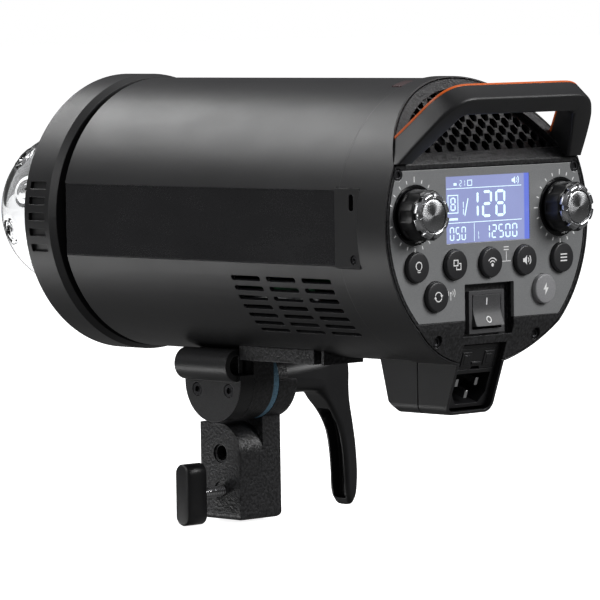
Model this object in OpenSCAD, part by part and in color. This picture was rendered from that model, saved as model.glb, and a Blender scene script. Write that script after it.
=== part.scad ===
// Monolight studio strobe on a tilting stand bracket.
// Units are millimetres. Origin: mouth of the stand socket, on its axis.
// +Z is up, the lamp points along -Y, +X is the side with the clamp knob.

/* [Lamp body] */
// outer radius of the main tube
tube_r = 71.5; // [60:0.5:85]
// wall thickness of the main tube
tube_wall = 2.2; // [1.6:0.1:4]
// length of the main tube
tube_len = 206; // [160:1:260]
// outer radius of the rear shell
shell_r = 72.5; // [61:0.5:86]
// distance from the rear panel to the seam of the rear shell
seam_depth = 34.5; // [24:0.5:50]
// height of the lamp axis above the stand socket mouth
axis_z = 160; // [140:1:190]
// distance of the rear panel behind the stand socket axis
panel_y = 183.4; // [150:0.1:220]

/* [Front] */
// outer radius of the accessory ring
ring_r = 73.5; // [62:0.5:88]
// length of the accessory ring
ring_len = 23.3; // [15:0.1:35]
// radius of the opening in the bayonet plate
bayonet_r = 54; // [45:0.5:60]
// outer radius of the glass dome
dome_r = 43; // [34:0.5:50]
// wall thickness of the glass dome
dome_wall = 2.4; // [1.5:0.1:4]
// radius of the flash tube ring
flash_ring_r = 28; // [20:0.5:34]

/* [Rear panel] */
// height of the upper bend of the panel above the lamp axis
bend_up = 30.2; // [20:0.1:40]
// height of the lower bend of the panel below the lamp axis
bend_down = 52; // [45:0.1:60]
// height of the top edge of the control plate above the lamp axis
plate_top = 27.5; // [26:0.1:29]
// forward lean of the upper face, per unit of height
lean_up = 0.589; // [0:0.001:1]
// forward lean of the lower face, per unit of height
lean_down = 0.36; // [0:0.01:0.6]
// sideways distance of each knob from the lamp axis
knob_x = 51.9; // [40:0.1:56]
// radius of a control knob
knob_r = 12.8; // [9:0.1:14]
// radius of a push button
button_r = 7.5; // [5:0.1:8]
// how far a push button stands out of the panel
button_out = 2.5; // [1:0.1:4]

/* [Handle] */
// angle of the handle from vertical
handle_lean = 40; // [20:1:60]
// thickness of the handle bar
handle_t = 10.6; // [8:0.1:16]

/* [Bracket] */
// height of the tilt axis below the lamp axis
tilt_drop = 86.4; // [80:0.1:100]
// distance of the tilt axis behind the stand socket axis
tilt_back = 7.4; // [0:0.1:15]
// radius of the tilt head
head_r = 21.2; // [16:0.1:26]
// radius of the stand socket
socket_r = 8.05; // [7.9:0.01:8.2]
// depth of the stand socket
socket_depth = 44; // [30:1:46]
// radius of the pivot bolt
bolt_r = 4.95; // [3:0.05:6]
// half the length of the clamp knob
clamp_r = 16.2; // [10:0.1:20]
// thickness of the clamp knob
clamp_t = 10.6; // [8:0.1:14]

/* [Hidden] */
$fn = 96;
y_front = -seam_depth - tube_len;        // front end of the tube, from the panel
y_ring = y_front - 28.2;                 // front edge of the ring
y_plate = y_ring + 6.7;                  // front face of the bayonet plate
y_floor = y_ring + 18.6;                 // floor of the dish
y_dome = y_ring - 39.2;                  // centre of the dome's sphere
y_tilt = tilt_back - panel_y;            // tilt axis, from the panel
inner_r = tube_r - tube_wall;
lower_a = atan(lean_down);
vent_a = [for (i = [0:6]) 23 + 4.62 * i];
ring_slot_a = [-13, -6.5, 0, 6.5, 13];
low_z = -78;
top_screw = [63, 25.6];                // panel screws, across and up
low_screw = [35.1, -57.7];
foot_screw_y = [-140, -104];
head_top = tilt_drop - 74.02;            // top of the tilt head, from the tilt axis
leg_x = 13;                              // flash tube legs
leg_z = -sqrt(flash_ring_r * flash_ring_r - leg_x * leg_x);

module at_lamp() { translate([0, panel_y, axis_z]) children(); }
module at_tilt() { translate([0, y_tilt, -tilt_drop]) children(); }
module ycyl(r, y0, y1) { translate([0, y1, 0]) rotate([90, 0, 0]) cylinder(r = r, h = y1 - y0); }
module ycone(ra, rb, y0, y1) { translate([0, y1, 0]) rotate([90, 0, 0]) cylinder(r1 = rb, r2 = ra, h = y1 - y0); }
module xcyl(r, x0, x1) { translate([x0, 0, 0]) rotate([0, 90, 0]) cylinder(r = r, h = x1 - x0); }
module bx(x0, x1, y0, y1, z0, z1) { translate([x0, y0, z0]) cube([x1 - x0, y1 - y0, z1 - z0]); }
module turn(a) { rotate([0, -a, 0]) children(); }
// 2-D shape in (y, z), drawn out along x
module along_x(x0, x1) { translate([x0, 0, 0]) rotate([90, 0, 90]) linear_extrude(height = x1 - x0) children(); }
// 2-D shape in (x, z), drawn out along y
module along_y(y0, y1) { translate([0, y1, 0]) rotate([90, 0, 0]) linear_extrude(height = y1 - y0) children(); }
// rectangle with round corners
module plate2(x0, x1, y0, y1, r) {
    translate([x0 + r, y0]) square([x1 - x0 - 2 * r, y1 - y0]);
    translate([x0, y0 + r]) square([x1 - x0, y1 - y0 - 2 * r]);
    for (x = [x0 + r, x1 - r], y = [y0 + r, y1 - r]) translate([x, y]) circle(r = r, $fn = 48);
}
// everything behind the folded rear face, moved in by d
module behind(d) {
    along_x(-90, 90) polygon([[-d, bend_up], [-d - lean_up * 60, bend_up + 60], [60, bend_up + 60],
        [60, -110], [-d - lean_down * (110 - bend_down), -110], [-d, -bend_down]]);
}
// frame on the lower slanted face: x across, z up the slope, y out of it
module on_lower() { translate([0, -lean_down * (-low_z - bend_down), low_z]) rotate([-lower_a, 0, 0]) children(); }
// frame of the handle: x across, z along the lean, y through the bar
module on_handle() { translate([0, 2.6, 30.6]) rotate([-handle_lean, 0, 0]) children(); }
module ledge2(grow) { plate2(-16.8 + grow, 16.8 - grow, -96.5 + grow, -50, 5 - grow * 0.6); }
module both_sides() { children(); mirror([1, 0, 0]) children(); }

// ---- main housing ----
module body_tube() {
    color([0.12, 0.12, 0.13]) at_lamp() difference() {
        union() {
            ycyl(tube_r, y_front, -seam_depth - 0.3);
            ycyl(65.4, y_front - 4.8, y_front + 1);
            intersection() {
                along_y(-66, -seam_depth - 0.3) ledge2(0);
                along_x(-20, 20) polygon([[-64.5, -55], [-30, -55], [-30, -100], [-50, -100], [-51, -95], [-55.5, -91]]);
            }
        }
        intersection() {
            ycyl(inner_r, y_front + 2.5, 0);
            bx(-64.8, 64.8, -300, 10, -80, 80);
        }
        ycyl(62.8, y_front - 6, y_front + 3);
        intersection() {
            along_y(-58, 0) ledge2(2.2);
            along_x(-20, 20) polygon([[-56, -55], [-20, -55], [-20, -100], [-47, -100], [-47, -94], [-51, -90]]);
        }
        both_sides() {
            bx(66.9, 80, y_front - 1, 0, -19.7, 17.7);
            bx(66.9, 80, -37.5, 0, -20.6, 19.2);
            for (a = vent_a, i = [0:2]) turn(-a) translate([68, -117.5 + 25.7 * i, 0]) rotate([0, 90, 0])
                linear_extrude(height = 20, center = true) plate2(-1.4, 1.4, 0, 21, 1.2);
        }
        // seat of the sensor window
        turn(75) bx(66, 80, -43.2, 0, -5.2, 5.2);
        // foot screws
        for (y = foot_screw_y) translate([12, y, -75]) cylinder(r = 2.1, h = 12);
    }
}
module side_strip() {
    bx(66.95, 68.9, y_front + 0.2, -37.6, -19.5, 17.5);
}
module side_strip_right() { color([0.2, 0.2, 0.21]) at_lamp() side_strip(); }
module side_strip_left() { color([0.2, 0.2, 0.21]) at_lamp() mirror([1, 0, 0]) side_strip(); }
module end_cover() {
    difference() {
        bx(66.95, 70.2, -37.4, -19.8, -20.4, 19);
        translate([60, 0, 0]) rotate([0, 90, 0]) linear_extrude(height = 20) plate2(-16, -7.6, -27.3, -24.3, 1.4);
        translate([0, -24.3, -16.2]) xcyl(2.4, 68.4, 80);
        translate([0, -24.3, -16.2]) xcyl(1.3, 60, 80);
    }
}
module end_cover_right() { color([0.16, 0.16, 0.17]) at_lamp() end_cover(); }
module end_cover_left() { color([0.16, 0.16, 0.17]) at_lamp() mirror([1, 0, 0]) end_cover(); }
module sensor_window() {
    color([0.35, 0.02, 0.03]) at_lamp() turn(75) intersection() {
        bx(66.5, 80, -43, -seam_depth - 0.2, -5, 5);
        turn(-75) ycyl(tube_r + 0.4, -60, 0);
    }
}
module rear_shell() {
    color([0.14, 0.14, 0.15]) at_lamp() difference() {
        union() {
            ycyl(shell_r, -seam_depth + 0.3, 8);
            along_y(-seam_depth + 0.3, 8) ledge2(0);
        }
        behind(0);
        intersection() {
            ycyl(shell_r - 2.7, -40, 10);
            bx(-64.8, 64.8, -300, -8, -80, 80);
        }
        ycyl(shell_r - 2.7, -8.1, 10);
        // thin rim round the bezel
        intersection() { ycyl(shell_r - 0.8, -60, 10); behind(5.2); }
        along_y(-40, 10) ledge2(1.5);
        both_sides() bx(66.9, 80, -40, -19.7, -20.6, 19.2);
    }
}
module rear_bezel() {
    color([0.17, 0.17, 0.18]) at_lamp() difference() {
        intersection() {
            difference() { behind(5); behind(0); }
            union() {
                ycyl(shell_r - 1.35, -50, 10);
                difference() { ycyl(shell_r - 0.85, -50, 10); behind(1.5); }
            }
        }
        // seat of the control plate
        intersection() {
            ycyl(shell_r - 2.85, -2.05, 10);
            bx(-80, 80, -2.05, 10, -48.3, plate_top + 0.45);
        }
        // rocker pocket
        bx(-17.4, 17.4, -4.5, 10, -56.4, -30.4);
        bx(-11.3, 11.3, -20, 10, -54.1, -35.1);
        // display opening
        bx(-28.8, 28.8, -20, 10, -8.8, 22.6);
        for (s = [-1, 1]) translate([s * knob_x, 0, 5.6]) ycyl(7.2, -10, 10);
        button_spots() ycyl(button_r + 0.3, -10, 10);
        // vent opening
        intersection() {
            ycyl(66.4, -60, 10);
            bx(-80, 80, -60, 10, 35.5, 80);
        }
        // inlet opening
        bx(-15.35, 15.35, -60, 10, -99, -60.6);
        // screws
        for (s = [-1, 1]) {
            translate([s * top_screw.x, 0, top_screw[1]]) { ycyl(1.3, -10, 10); ycyl(3.1, -1.4, 10); }
            translate([s * low_screw.x, 0, low_screw[1]]) ycyl(1.3, -20, 10);
            translate([s * low_screw.x, 0, low_screw[1]]) ycyl(3.1, -4.4, 10);
        }
    }
}
module button_spots() {
    for (x = [-51.85, -24.95, 0, 24.95, 51.85]) translate([x, 0, -20.05]) children();
    for (s = [-1, 1]) translate([s * 38.5, 0, -35.2]) children();
}
module control_plate() {
    color([0.42, 0.43, 0.44]) at_lamp() difference() {
        intersection() {
            ycyl(shell_r - 3.25, -2, 0);
            bx(-80, 80, -3, 3, -48.1, plate_top);
        }
        bx(-17.6, 17.6, -5, 5, -60, -30.3);
        bx(-29.8, 29.8, -5, 5, -9.7, 23.5);
        for (s = [-1, 1]) {
            translate([s * knob_x, 0, 5.6]) ycyl(15.05, -5, 5);
            translate([s * top_screw.x, 0, top_screw[1]]) ycyl(1.7, -5, 5);
            translate([s * top_screw.x, 0, top_screw[1]]) ycyl(3.1, -1.4, 5);
        }
        button_spots() ycyl(button_r + 0.3, -5, 5);
    }
}
module screw_y(r, y) {
    difference() {
        union() { ycyl(r, y - 1.2, y); ycyl(1.25, y - 7, y - 1); }
        ycyl(1.7, y - 0.9, y + 1);
    }
}
module panel_screws() {
    color([0.5, 0.5, 0.5]) at_lamp() {
        for (s = [-1, 1]) {
            translate([s * top_screw.x, 0, top_screw[1]]) screw_y(2.6, -0.1);
            translate([s * low_screw.x, 0, low_screw[1]]) screw_y(2.6, -3.1);
        }
        both_sides() translate([0, -24.3, -16.2]) difference() {
            union() { xcyl(2.2, 68.45, 69.8); xcyl(1.2, 67, 68.6); }
            xcyl(0.9, 69.1, 71);
        }
    }
}
module vent_grille() {
    color([0.1, 0.1, 0.11]) at_lamp() difference() {
        intersection() {
            difference() { behind(7.2); behind(5.05); }
            ycyl(68.6, -60, 10);
            bx(-80, 80, -60, 10, 34, 80);
        }
        for (i = [-8:7], j = [0:7]) {
            x = 8.4 * (i + (j % 2) / 2);
            z = 37.4 + 3.65 * j;
            if (sqrt(x * x + z * z) < 65.5) translate([x, 0, z]) rotate([90, 0, 0]) cylinder(r = 2.75, h = 60, $fn = 6);
        }
    }
}

// ---- front ----
module front_ring() {
    color([0.13, 0.13, 0.14]) at_lamp() difference() {
        union() {
            ycyl(ring_r, y_ring, y_ring + 19.2);
            ycone(ring_r, ring_r - 2, y_ring + 19.2, y_ring + ring_len);
        }
        ycyl(70.2, y_ring - 1, y_ring + 17.8);
        ycyl(65.5, y_ring, y_ring + 40);
        both_sides() for (a = ring_slot_a) turn(a) bx(71.4, 80, y_ring + 3.4, y_ring + 16, -2, 2);
        turn(135) bx(60, 80, y_ring + 8.2, y_ring + 17, -3.2, 3.2);
    }
}
module bayonet_plate() {
    color([0.62, 0.63, 0.65]) at_lamp() difference() {
        ycyl(70.1, y_plate, y_plate + 3);
        ycyl(bayonet_r, y_plate - 1, y_plate + 5);
        for (a = [30, 150, 270]) turn(a) intersection() {
            ycyl(bayonet_r + 6, y_plate - 1, y_plate + 5);
            bx(0, 80, y_plate - 1, y_plate + 5, -12, 12);
        }
        turn(135) translate([62.4, 0, 0]) ycyl(2.08, y_plate - 1, y_plate + 5);
    }
}
module release_slider() {
    color([0.5, 0.08, 0.06]) at_lamp() turn(135) {
        difference() {
            bx(73.9, 77.4, y_ring + 7.2, y_ring + 15.6, -6, 6);
            for (i = [0:2]) bx(76.9, 78, y_ring + 8.8 + 2.2 * i, y_ring + 9.8 + 2.2 * i, -7, 7);
        }
        bx(66, 74, y_ring + 9.8, y_ring + 12.6, -2.9, 2.9);
        bx(60, 67, y_ring + 10, y_ring + 13.2, -4, 4);
        translate([62.4, 0, 0]) ycyl(2, y_plate - 2.4, y_ring + 11);
    }
}
module reflector_dish() {
    color([0.85, 0.85, 0.86]) at_lamp() difference() {
        translate([0, y_floor, 0]) rotate([90, 0, 0]) rotate_extrude() polygon([[0, -1.2], [48.5, -1.2], [56.2, 8.8],
            [56.2, 8.85], [55, 8.85], [47.8, 0], [0, 0]]);
        for (s = [-1, 1]) translate([s * leg_x, 0, leg_z]) ycyl(5.2, y_floor - 2, y_floor + 5);
        ycyl(11.7, y_floor - 2, y_floor + 5);
    }
}
module tube_socket() {
    color([0.9, 0.89, 0.85]) at_lamp() difference() {
        ycyl(37.5, y_floor - 6, y_floor - 0.02);
        ycyl(11.6, y_floor - 8, y_floor + 5);
        for (s = [-1, 1]) translate([s * leg_x, 0, leg_z]) ycyl(4, y_floor - 8, y_floor + 5);
    }
}
module flash_tube() {
    gap = asin(9 / flash_ring_r);
    color([0.9, 0.93, 0.95]) at_lamp() {
        translate([0, y_floor - 34, 0]) rotate([90, 0, 0]) rotate([0, 0, 270 + gap])
            rotate_extrude(angle = 360 - 2 * gap) translate([flash_ring_r, 0]) circle(r = 4.2, $fn = 40);
        for (s = [-1, 1]) translate([s * leg_x, 0, leg_z]) ycyl(3.8, y_floor - 33, y_floor + 3);
    }
}
module modelling_lamp() {
    color([0.95, 0.85, 0.5]) at_lamp() {
        ycyl(11.4, y_floor - 14, y_floor + 4);
        intersection() {
            translate([0, y_floor - 14, 0]) sphere(r = 9.5);
            ycyl(12, y_floor - 40, y_floor - 13);
        }
    }
}
module dome_clips() {
    color([0.75, 0.76, 0.78]) at_lamp() for (a = [90, 210, 330]) turn(a) {
        bx(dome_r + 0.3, dome_r + 1.3, y_floor - 14, y_floor - 0.02, -4, 4);
        bx(dome_r + 0.3, dome_r + 3.6, y_floor - 1, y_floor - 0.02, -4, 4);
    }
}
module glass_dome() {
    color([0.85, 0.9, 0.95, 0.35]) at_lamp() difference() {
        union() {
            translate([0, y_dome, 0]) sphere(r = dome_r, $fn = 128);
            ycyl(dome_r, y_dome, y_floor - 0.1);
        }
        translate([0, y_dome, 0]) sphere(r = dome_r - dome_wall, $fn = 128);
        ycyl(dome_r - dome_wall, y_dome, y_floor + 1);
        for (a = [-15, 45, 105, 165, 225, 285]) turn(a) translate([0, y_dome, 0]) rotate([0, 0, -18]) xcyl(2.2, 30, 60);
    }
}

// ---- rear controls ----
module display_window() { color([0.6, 0.65, 0.9, 0.5]) at_lamp() bx(-29.7, 29.7, -1.9, -0.2, -9.6, 23.4); }
module display_module() {
    color([0.3, 0.32, 0.45]) at_lamp() {
        bx(-33.5, 33.5, -9.6, -5.1, -10.8, 27.5);
        bx(-28.6, 28.6, -5.2, -2.3, -8.6, 22.4);
    }
}
module knob_rings() {
    color([0.75, 0.76, 0.78]) at_lamp() for (s = [-1, 1]) translate([s * knob_x, 0, 5.6]) difference() {
        ycyl(15, -1.95, 0.4);
        ycyl(13.9, -0.6, 5);
        ycyl(7.2, -5, 5);
    }
}
module knob() {
    difference() {
        union() {
            ycyl(knob_r, 0.6, 10.4);
            ycyl(2.95, -9.5, 1);
        }
        for (a = [0:45:315]) turn(a) translate([knob_r + 2.6, 0, 0]) ycyl(3.5, 2.4, 11, $fn = 48);
    }
}
module knob_cap() {
    difference() {
        union() {
            ycyl(11.5, 10.42, 12.4);
            ycone(11.5, 10.4, 12.4, 13.8);
        }
        ycyl(8.2, 13.1, 20);
        for (a = [0:45:315]) turn(a) bx(10, 12, 10, 15, -1.2, 1.2);
    }
}
module knob_left() { color([0.08, 0.08, 0.09]) at_lamp() translate([knob_x, 0, 5.6]) knob(); }
module knob_right() { color([0.08, 0.08, 0.09]) at_lamp() translate([-knob_x, 0, 5.6]) knob(); }
module knob_cap_left() { color([0.7, 0.71, 0.73]) at_lamp() translate([knob_x, 0, 5.6]) knob_cap(); }
module knob_cap_right() { color([0.7, 0.71, 0.73]) at_lamp() translate([-knob_x, 0, 5.6]) knob_cap(); }
module encoders() {
    color([0.4, 0.42, 0.45]) at_lamp() for (s = [-1, 1]) translate([s * knob_x, 0, 5.6]) difference() {
        union() { bx(-6, 6, -10.35, -5.1, -6, 6); ycyl(4.6, -5.2, -2.2); }
        ycyl(3, -9.7, 5);
    }
}
module control_board() {
    color([0.05, 0.3, 0.16]) at_lamp() difference() {
        union() {
            intersection() {
                ycyl(66, -12, -10.4);
                bx(-64.4, 64.4, -13, -5, -42, 28);
            }
            button_spots() bx(-3, 3, -10.5, -8, -3, 3);
        }
        bx(-13, 13, -20, 5, -60, -28);
    }
}
module button() {
    ycyl(button_r, -6.2, button_out);
    ycyl(button_r + 1, -6.4, -5.3);
}
module button_lamp() { color([0.1, 0.1, 0.11]) at_lamp() translate([51.85, 0, -20.05]) button(); }
module button_group() { color([0.1, 0.1, 0.11]) at_lamp() translate([24.95, 0, -20.05]) button(); }
module button_slave() { color([0.1, 0.1, 0.11]) at_lamp() translate([0, 0, -20.05]) button(); }
module button_sound() { color([0.1, 0.1, 0.11]) at_lamp() translate([-24.95, 0, -20.05]) button(); }
module button_menu() { color([0.1, 0.1, 0.11]) at_lamp() translate([-51.85, 0, -20.05]) button(); }
module button_mode() { color([0.1, 0.1, 0.11]) at_lamp() translate([38.5, 0, -35.2]) button(); }
module button_test() { color([0.7, 0.7, 0.7]) at_lamp() translate([-38.5, 0, -35.2]) button(); }
module rocker_bezel() {
    color([0.25, 0.25, 0.26]) at_lamp() difference() {
        union() {
            bx(-12.5, 12.5, -4.48, -2, -55.3, -34);
            bx(-11.2, 11.2, -22, -4.4, -54, -35.2);
        }
        bx(-10.4, 10.4, -15.5, 2, -53.2, -36);
    }
}
module rocker() {
    color([0.3, 0.3, 0.31]) at_lamp() translate([0, -5, -44.6]) {
        rotate([9, 0, 0]) along_x(-10, 10) polygon([[4.6, 7.9], [3.3, 0], [4.6, -7.9], [0, -7.6], [-5, -3], [-5, 3], [0, 7.6]]);
        xcyl(1.5, -10.3, 10.3);
    }
}
module inlet_body() {
    color([0.07, 0.07, 0.08]) at_lamp() on_lower() difference() {
        union() {
            along_y(-4.6, -3) plate2(-15, 15, -17.2, 16.6, 2);
            bx(-13.6, 13.6, -24, -4.5, -16.2, 15.6);
        }
        // appliance inlet
        along_y(-19, 0) polygon([[-12, 1.2], [12, 1.2], [12, -9.6], [8, -15.3], [-8, -15.3], [-12, -9.6]]);
        // fuse drawer well
        bx(-12.7, 12.7, -20, 2, 3.3, 14.7);
        for (x = [-7, 7]) bx(x - 1, x + 1, -30, -18, -7, -3);
        bx(-1, 1, -30, -18, -13, -9);
    }
}
module inlet_pins() {
    color([0.85, 0.85, 0.86]) at_lamp() on_lower() {
        for (x = [-7, 7]) bx(x - 1, x + 1, -30, -6, -7, -3);
        bx(-1, 1, -30, -4.6, -13, -9);
    }
}
module fuse_drawer() {
    color([0.12, 0.12, 0.13]) at_lamp() on_lower() difference() {
        bx(-12.5, 12.5, -19.5, -2.6, 3.5, 14.5);
        bx(-10.4, 10.4, -16.6, -10.8, 6.2, 20);
        bx(-4, 4, -3.2, 0, 3, 5);
    }
}
module fuse() {
    color([0.8, 0.8, 0.75]) at_lamp() on_lower() translate([0, -13.7, 9]) xcyl(2.6, -10, 10);
}

// ---- handle ----
// outline of the bar seen from behind
module handle2() {
    difference() {
        polygon([[-66, -2], [66, -2], [66, 0.5], [62.5, 10.4], [58.8, 19.8], [54.5, 29], [50.1, 34.8], [45, 39.3], [38, 41.3],
            [-38, 41.3], [-45, 39.3], [-50.1, 34.8], [-54.5, 29], [-58.8, 19.8], [-62.5, 10.4], [-66, 0.5]]);
        polygon([[-57, -3], [57, -3], [55.5, 0], [44.3, 21], [40.8, 27.6], [37.5, 30.1], [-37.5, 30.1], [-40.8, 27.6],
            [-44.3, 21], [-55.5, 0]]);
    }
}
// side view of the bar, from its rear face to d in front of its front face: it gets thicker toward the feet
module handle_side(d) {
    t = handle_t + d;
    polygon([[0, 60], [0, -10], [-t - 6.5, -10], [-t - 5.4, 3.7], [-t - 3.6, 14], [-t - 1.7, 24.6], [-t - 0.3, 34.7], [-t, 40], [-t, 60]]);
}
module handle_body(d) {
    on_handle() difference() {
        intersection() {
            along_y(-30, 1) handle2();
            along_x(-80, 80) handle_side(d);
        }
        // flanks close in toward the front
        both_sides() rotate([0, -13.13, -25.03]) translate([58.35, -60, -60]) cube([60, 120, 120]);
    }
}
module handle() {
    color([0.13, 0.13, 0.14]) at_lamp() intersection() {
        handle_body(0);
        behind(-0.02);
        bx(-80, 80, -40, 60, 30.9, 90);
    }
}
module handle_trim() {
    color([0.95, 0.36, 0.08]) at_lamp() intersection() {
        difference() {
            handle_body(1.3);
            on_handle() along_x(-90, 90) handle_side(0.02);
        }
        behind(-0.3);
        bx(-80, 80, -60, 60, 40, 90);
    }
}

// ---- inside ----
module fan_frame() {
    color([0.1, 0.1, 0.1]) at_lamp() translate([0, 0, 12]) difference() {
        bx(-30, 30, -62, -47, -30, 30);
        ycyl(28.2, -60.5, -40);
        difference() {
            ycyl(27, -70, -55);
            ycyl(12.5, -70, -50);
            for (a = [0:90:270]) turn(a) bx(0, 40, -70, -50, -1.5, 1.5);
        }
    }
}
module fan_rotor() {
    color([0.15, 0.15, 0.16]) at_lamp() translate([0, 0, 12]) {
        ycyl(12, -60, -48);
        for (a = [0:51.4286:340]) turn(a) translate([18.9, -54, 0]) rotate([40, 0, 0]) cube([15.5, 1.4, 11.5], center = true);
    }
}
module capacitors() {
    color([0.1, 0.12, 0.3]) at_lamp() for (x = [-28, 28], z = [-14, 24]) translate([x, 0, z]) ycyl(17.5, -190, -120);
}
module power_board() {
    color([0.05, 0.3, 0.16]) at_lamp() {
        bx(-48, 48, -232, -75, -34.6, -33);
        bx(-20, 20, -112, -80, -33.1, -8);
        bx(-14, 14, -225, -205, -33.1, -12);
    }
}
module chassis() {
    color([0.6, 0.61, 0.62]) at_lamp() {
        bx(-52, 52, -236, -68, -38.6, -36.6);
        for (x = [-44, 44], y = [-226, -82]) translate([x, y, -36.7]) cylinder(r = 3, h = 2.08);
        // end walls
        difference() {
            intersection() { ycyl(inner_r - 0.4, -195.5, -193.5); bx(-64.4, 64.4, -200, -190, -60, 60); }
            bx(-30, 30, -200, -190, 5, 20);
            bx(-48.3, 48.3, -200, -190, -34.9, -32.7);
        }
        bx(-52, 52, -196, -193.4, -38.6, -36);
    }
}

// ---- bracket ----
module base_plate() {
    color([0.12, 0.12, 0.13]) at_lamp() difference() {
        bx(-1.5, 26.5, -196, -91.7, -74, -60);
        ycyl(tube_r + 0.02, -300, 0);
        bx(19, 30, -99.1, -93.6, -80, -60);
        // room for the umbrella clamp
        bx(16.4, 30, y_tilt - head_r - 0.2, y_tilt + head_r + 0.2, -80, -55);
        for (y = foot_screw_y) translate([12, y, -80]) { cylinder(r = 2.1, h = 20); cylinder(r = 4, h = 7.6); }
    }
}
// side view of the tilt head: a disc, square above its middle, flat under the base plate
module head_outline(r) {
    intersection() {
        union() {
            circle(r = r);
            translate([-r, 0]) square([2 * r, head_top]);
        }
        translate([-r, -r]) square([2 * r, r + head_top]);
    }
}
module tilt_head() {
    color([0.15, 0.15, 0.16]) at_lamp() at_tilt() difference() {
        along_x(2.1, 16.3) head_outline(head_r);
        xcyl(bolt_r, -10, 14);
        for (y = [-12, 12]) translate([0, y, -4.2]) xcyl(2, 6, 20);
    }
}
module umbrella_clamp() {
    color([0.16, 0.16, 0.17]) at_lamp() at_tilt() difference() {
        intersection() {
            union() {
                along_x(16.5, 26) head_outline(head_r);
                translate([26.6, 0, 9.3]) ycyl(8.4, -head_r, head_r);
                bx(16.5, 26.6, -19.6, 19.6, 0.9, 16.2);
            }
            union() {
                along_x(10, 26) circle(r = head_r + 1);
                along_x(10, 40) translate([-19.6, -1]) square([39.2, 20]);
            }
        }
        translate([26.6, 0, 9.3]) ycyl(5.2, -40, 40);
        bx(0, 26.6, -40, 40, 4.1, 14.5);
        for (y = [-12, 12]) translate([0, y, -4.2]) { xcyl(2.1, 10, 30); xcyl(3.6, 23.5, 40); }
    }
}
module umbrella_jaw() {
    color([0.45, 0.46, 0.47]) at_lamp() at_tilt() bx(17.4, 20.6, -14, 14, 4.3, 14.3);
}
module clamp_screws() {
    color([0.2, 0.2, 0.21]) at_lamp() at_tilt() for (y = [-12, 12]) translate([0, y, -4.2]) difference() {
        union() { xcyl(3.3, 23.52, 25.8); xcyl(1.98, 7, 24); }
        translate([24.2, 0, 0]) rotate([0, 90, 0]) cylinder(r = 1.9, h = 5, $fn = 6);
    }
}
module friction_washer() {
    color([0.35, 0.5, 0.62]) at_lamp() at_tilt() difference() {
        along_x(-1.7, 2.05) intersection() {
            circle(r = head_r - 0.2);
            translate([-head_r, -head_r]) square([2 * head_r, head_r + head_top]);
        }
        xcyl(bolt_r + 0.05, -5, 5);
    }
}
module pivot_bolt() {
    color([0.6, 0.61, 0.62]) at_lamp() at_tilt() xcyl(bolt_r, -40, 13.9);
}
module stand_block() {
    color([0.15, 0.15, 0.16]) difference() {
        union() {
            difference() {
                intersection() {
                    bx(-14.7, 14.7, -15, 15, 0, 51);
                    along_x(-15, 15) plate2(-15, 15, 0, 60, 3);
                    along_y(-15, 15) plate2(-14.7, 14.7, 0, 60, 3);
                }
                // saddle under the tilt head
                difference() {
                    bx(-1.95, 20, -1, 40, 35, 60);
                    translate([0, -1, 35]) xcyl(16, -10, 30);
                }
            }
            translate([0, tilt_back, axis_z - tilt_drop]) {
                difference() {
                    along_x(-14.7, -1.95) circle(r = head_r);
                    bx(-20, 0, -40, 40, 0, 40);
                    bx(-20, 0, -40, -14, -9, 40);
                }
                along_x(-14.7, -1.95) circle(r = 14);
                along_x(-14.7, -1.95) polygon([[-22.4, -40], [-22.4, -16], [-14, -5], [7.6, -5], [7.6, -40]]);
            }
        }
        translate([0, 0, -1]) cylinder(r = socket_r, h = socket_depth + 1);
        translate([0, tilt_back, axis_z - tilt_drop]) xcyl(bolt_r + 0.05, -30, 10);
        translate([0, tilt_back, axis_z - tilt_drop]) xcyl(head_r + 0.6, -1.94, 30);
        // spare screw hole and clamp screw hole
        translate([0, 0, 34.9]) xcyl(3.95, 0, 20);
        translate([0, 0, 34.9]) xcyl(5, 13.4, 20);
        translate([0, 0, 15]) xcyl(3.02, 0, 20);
        translate([0, 0, 15]) xcyl(5, 13.9, 20);
    }
}
module tilt_lever() {
    color([0.1, 0.1, 0.11]) at_lamp() at_tilt() difference() {
        union() {
            xcyl(9.6, -64.4, -15.1);
            translate([-64.4, 0, 0]) rotate([0, -90, 0]) cylinder(r1 = 9.6, r2 = 7.6, h = 1.9);
            intersection() {
                along_y(-7.3, 7.3) polygon([[-44, 4], [-66, 4], [-66.8, -10], [-72, -38], [-73.1, -56], [-72.4, -66],
                    [-69.5, -72.4], [-66.2, -71], [-64.2, -66], [-63.8, -52], [-62.6, -40], [-59.5, -29], [-54, -19.5],
                    [-47, -12.8], [-42, -8.5]]);
                bx(-80, -40, -20, 20, -80, 6);
            }
        }
        xcyl(bolt_r + 0.06, -40.4, -10);
        // thumb pocket on the inner face
        bx(-68, -40, -4.8, 4.8, -66, -24);
    }
}
module clamp_knob() {
    color([0.12, 0.12, 0.13]) translate([0, 0, 15]) difference() {
        union() {
            along_x(29.4, 41.6) plate2(-clamp_t / 2, clamp_t / 2, -clamp_r, clamp_r, clamp_t / 2 - 0.1);
            along_x(28.9, 42.3) plate2(0.7 - clamp_t / 2, clamp_t / 2 - 0.7, 0.7 - clamp_r, clamp_r - 0.7, clamp_t / 2 - 0.8);
        }
        xcyl(2.98, 20, 38);
    }
}
module clamp_rod() { color([0.8, 0.8, 0.82]) translate([0, 0, 15]) xcyl(2.96, 8.4, 37.9); }

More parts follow.
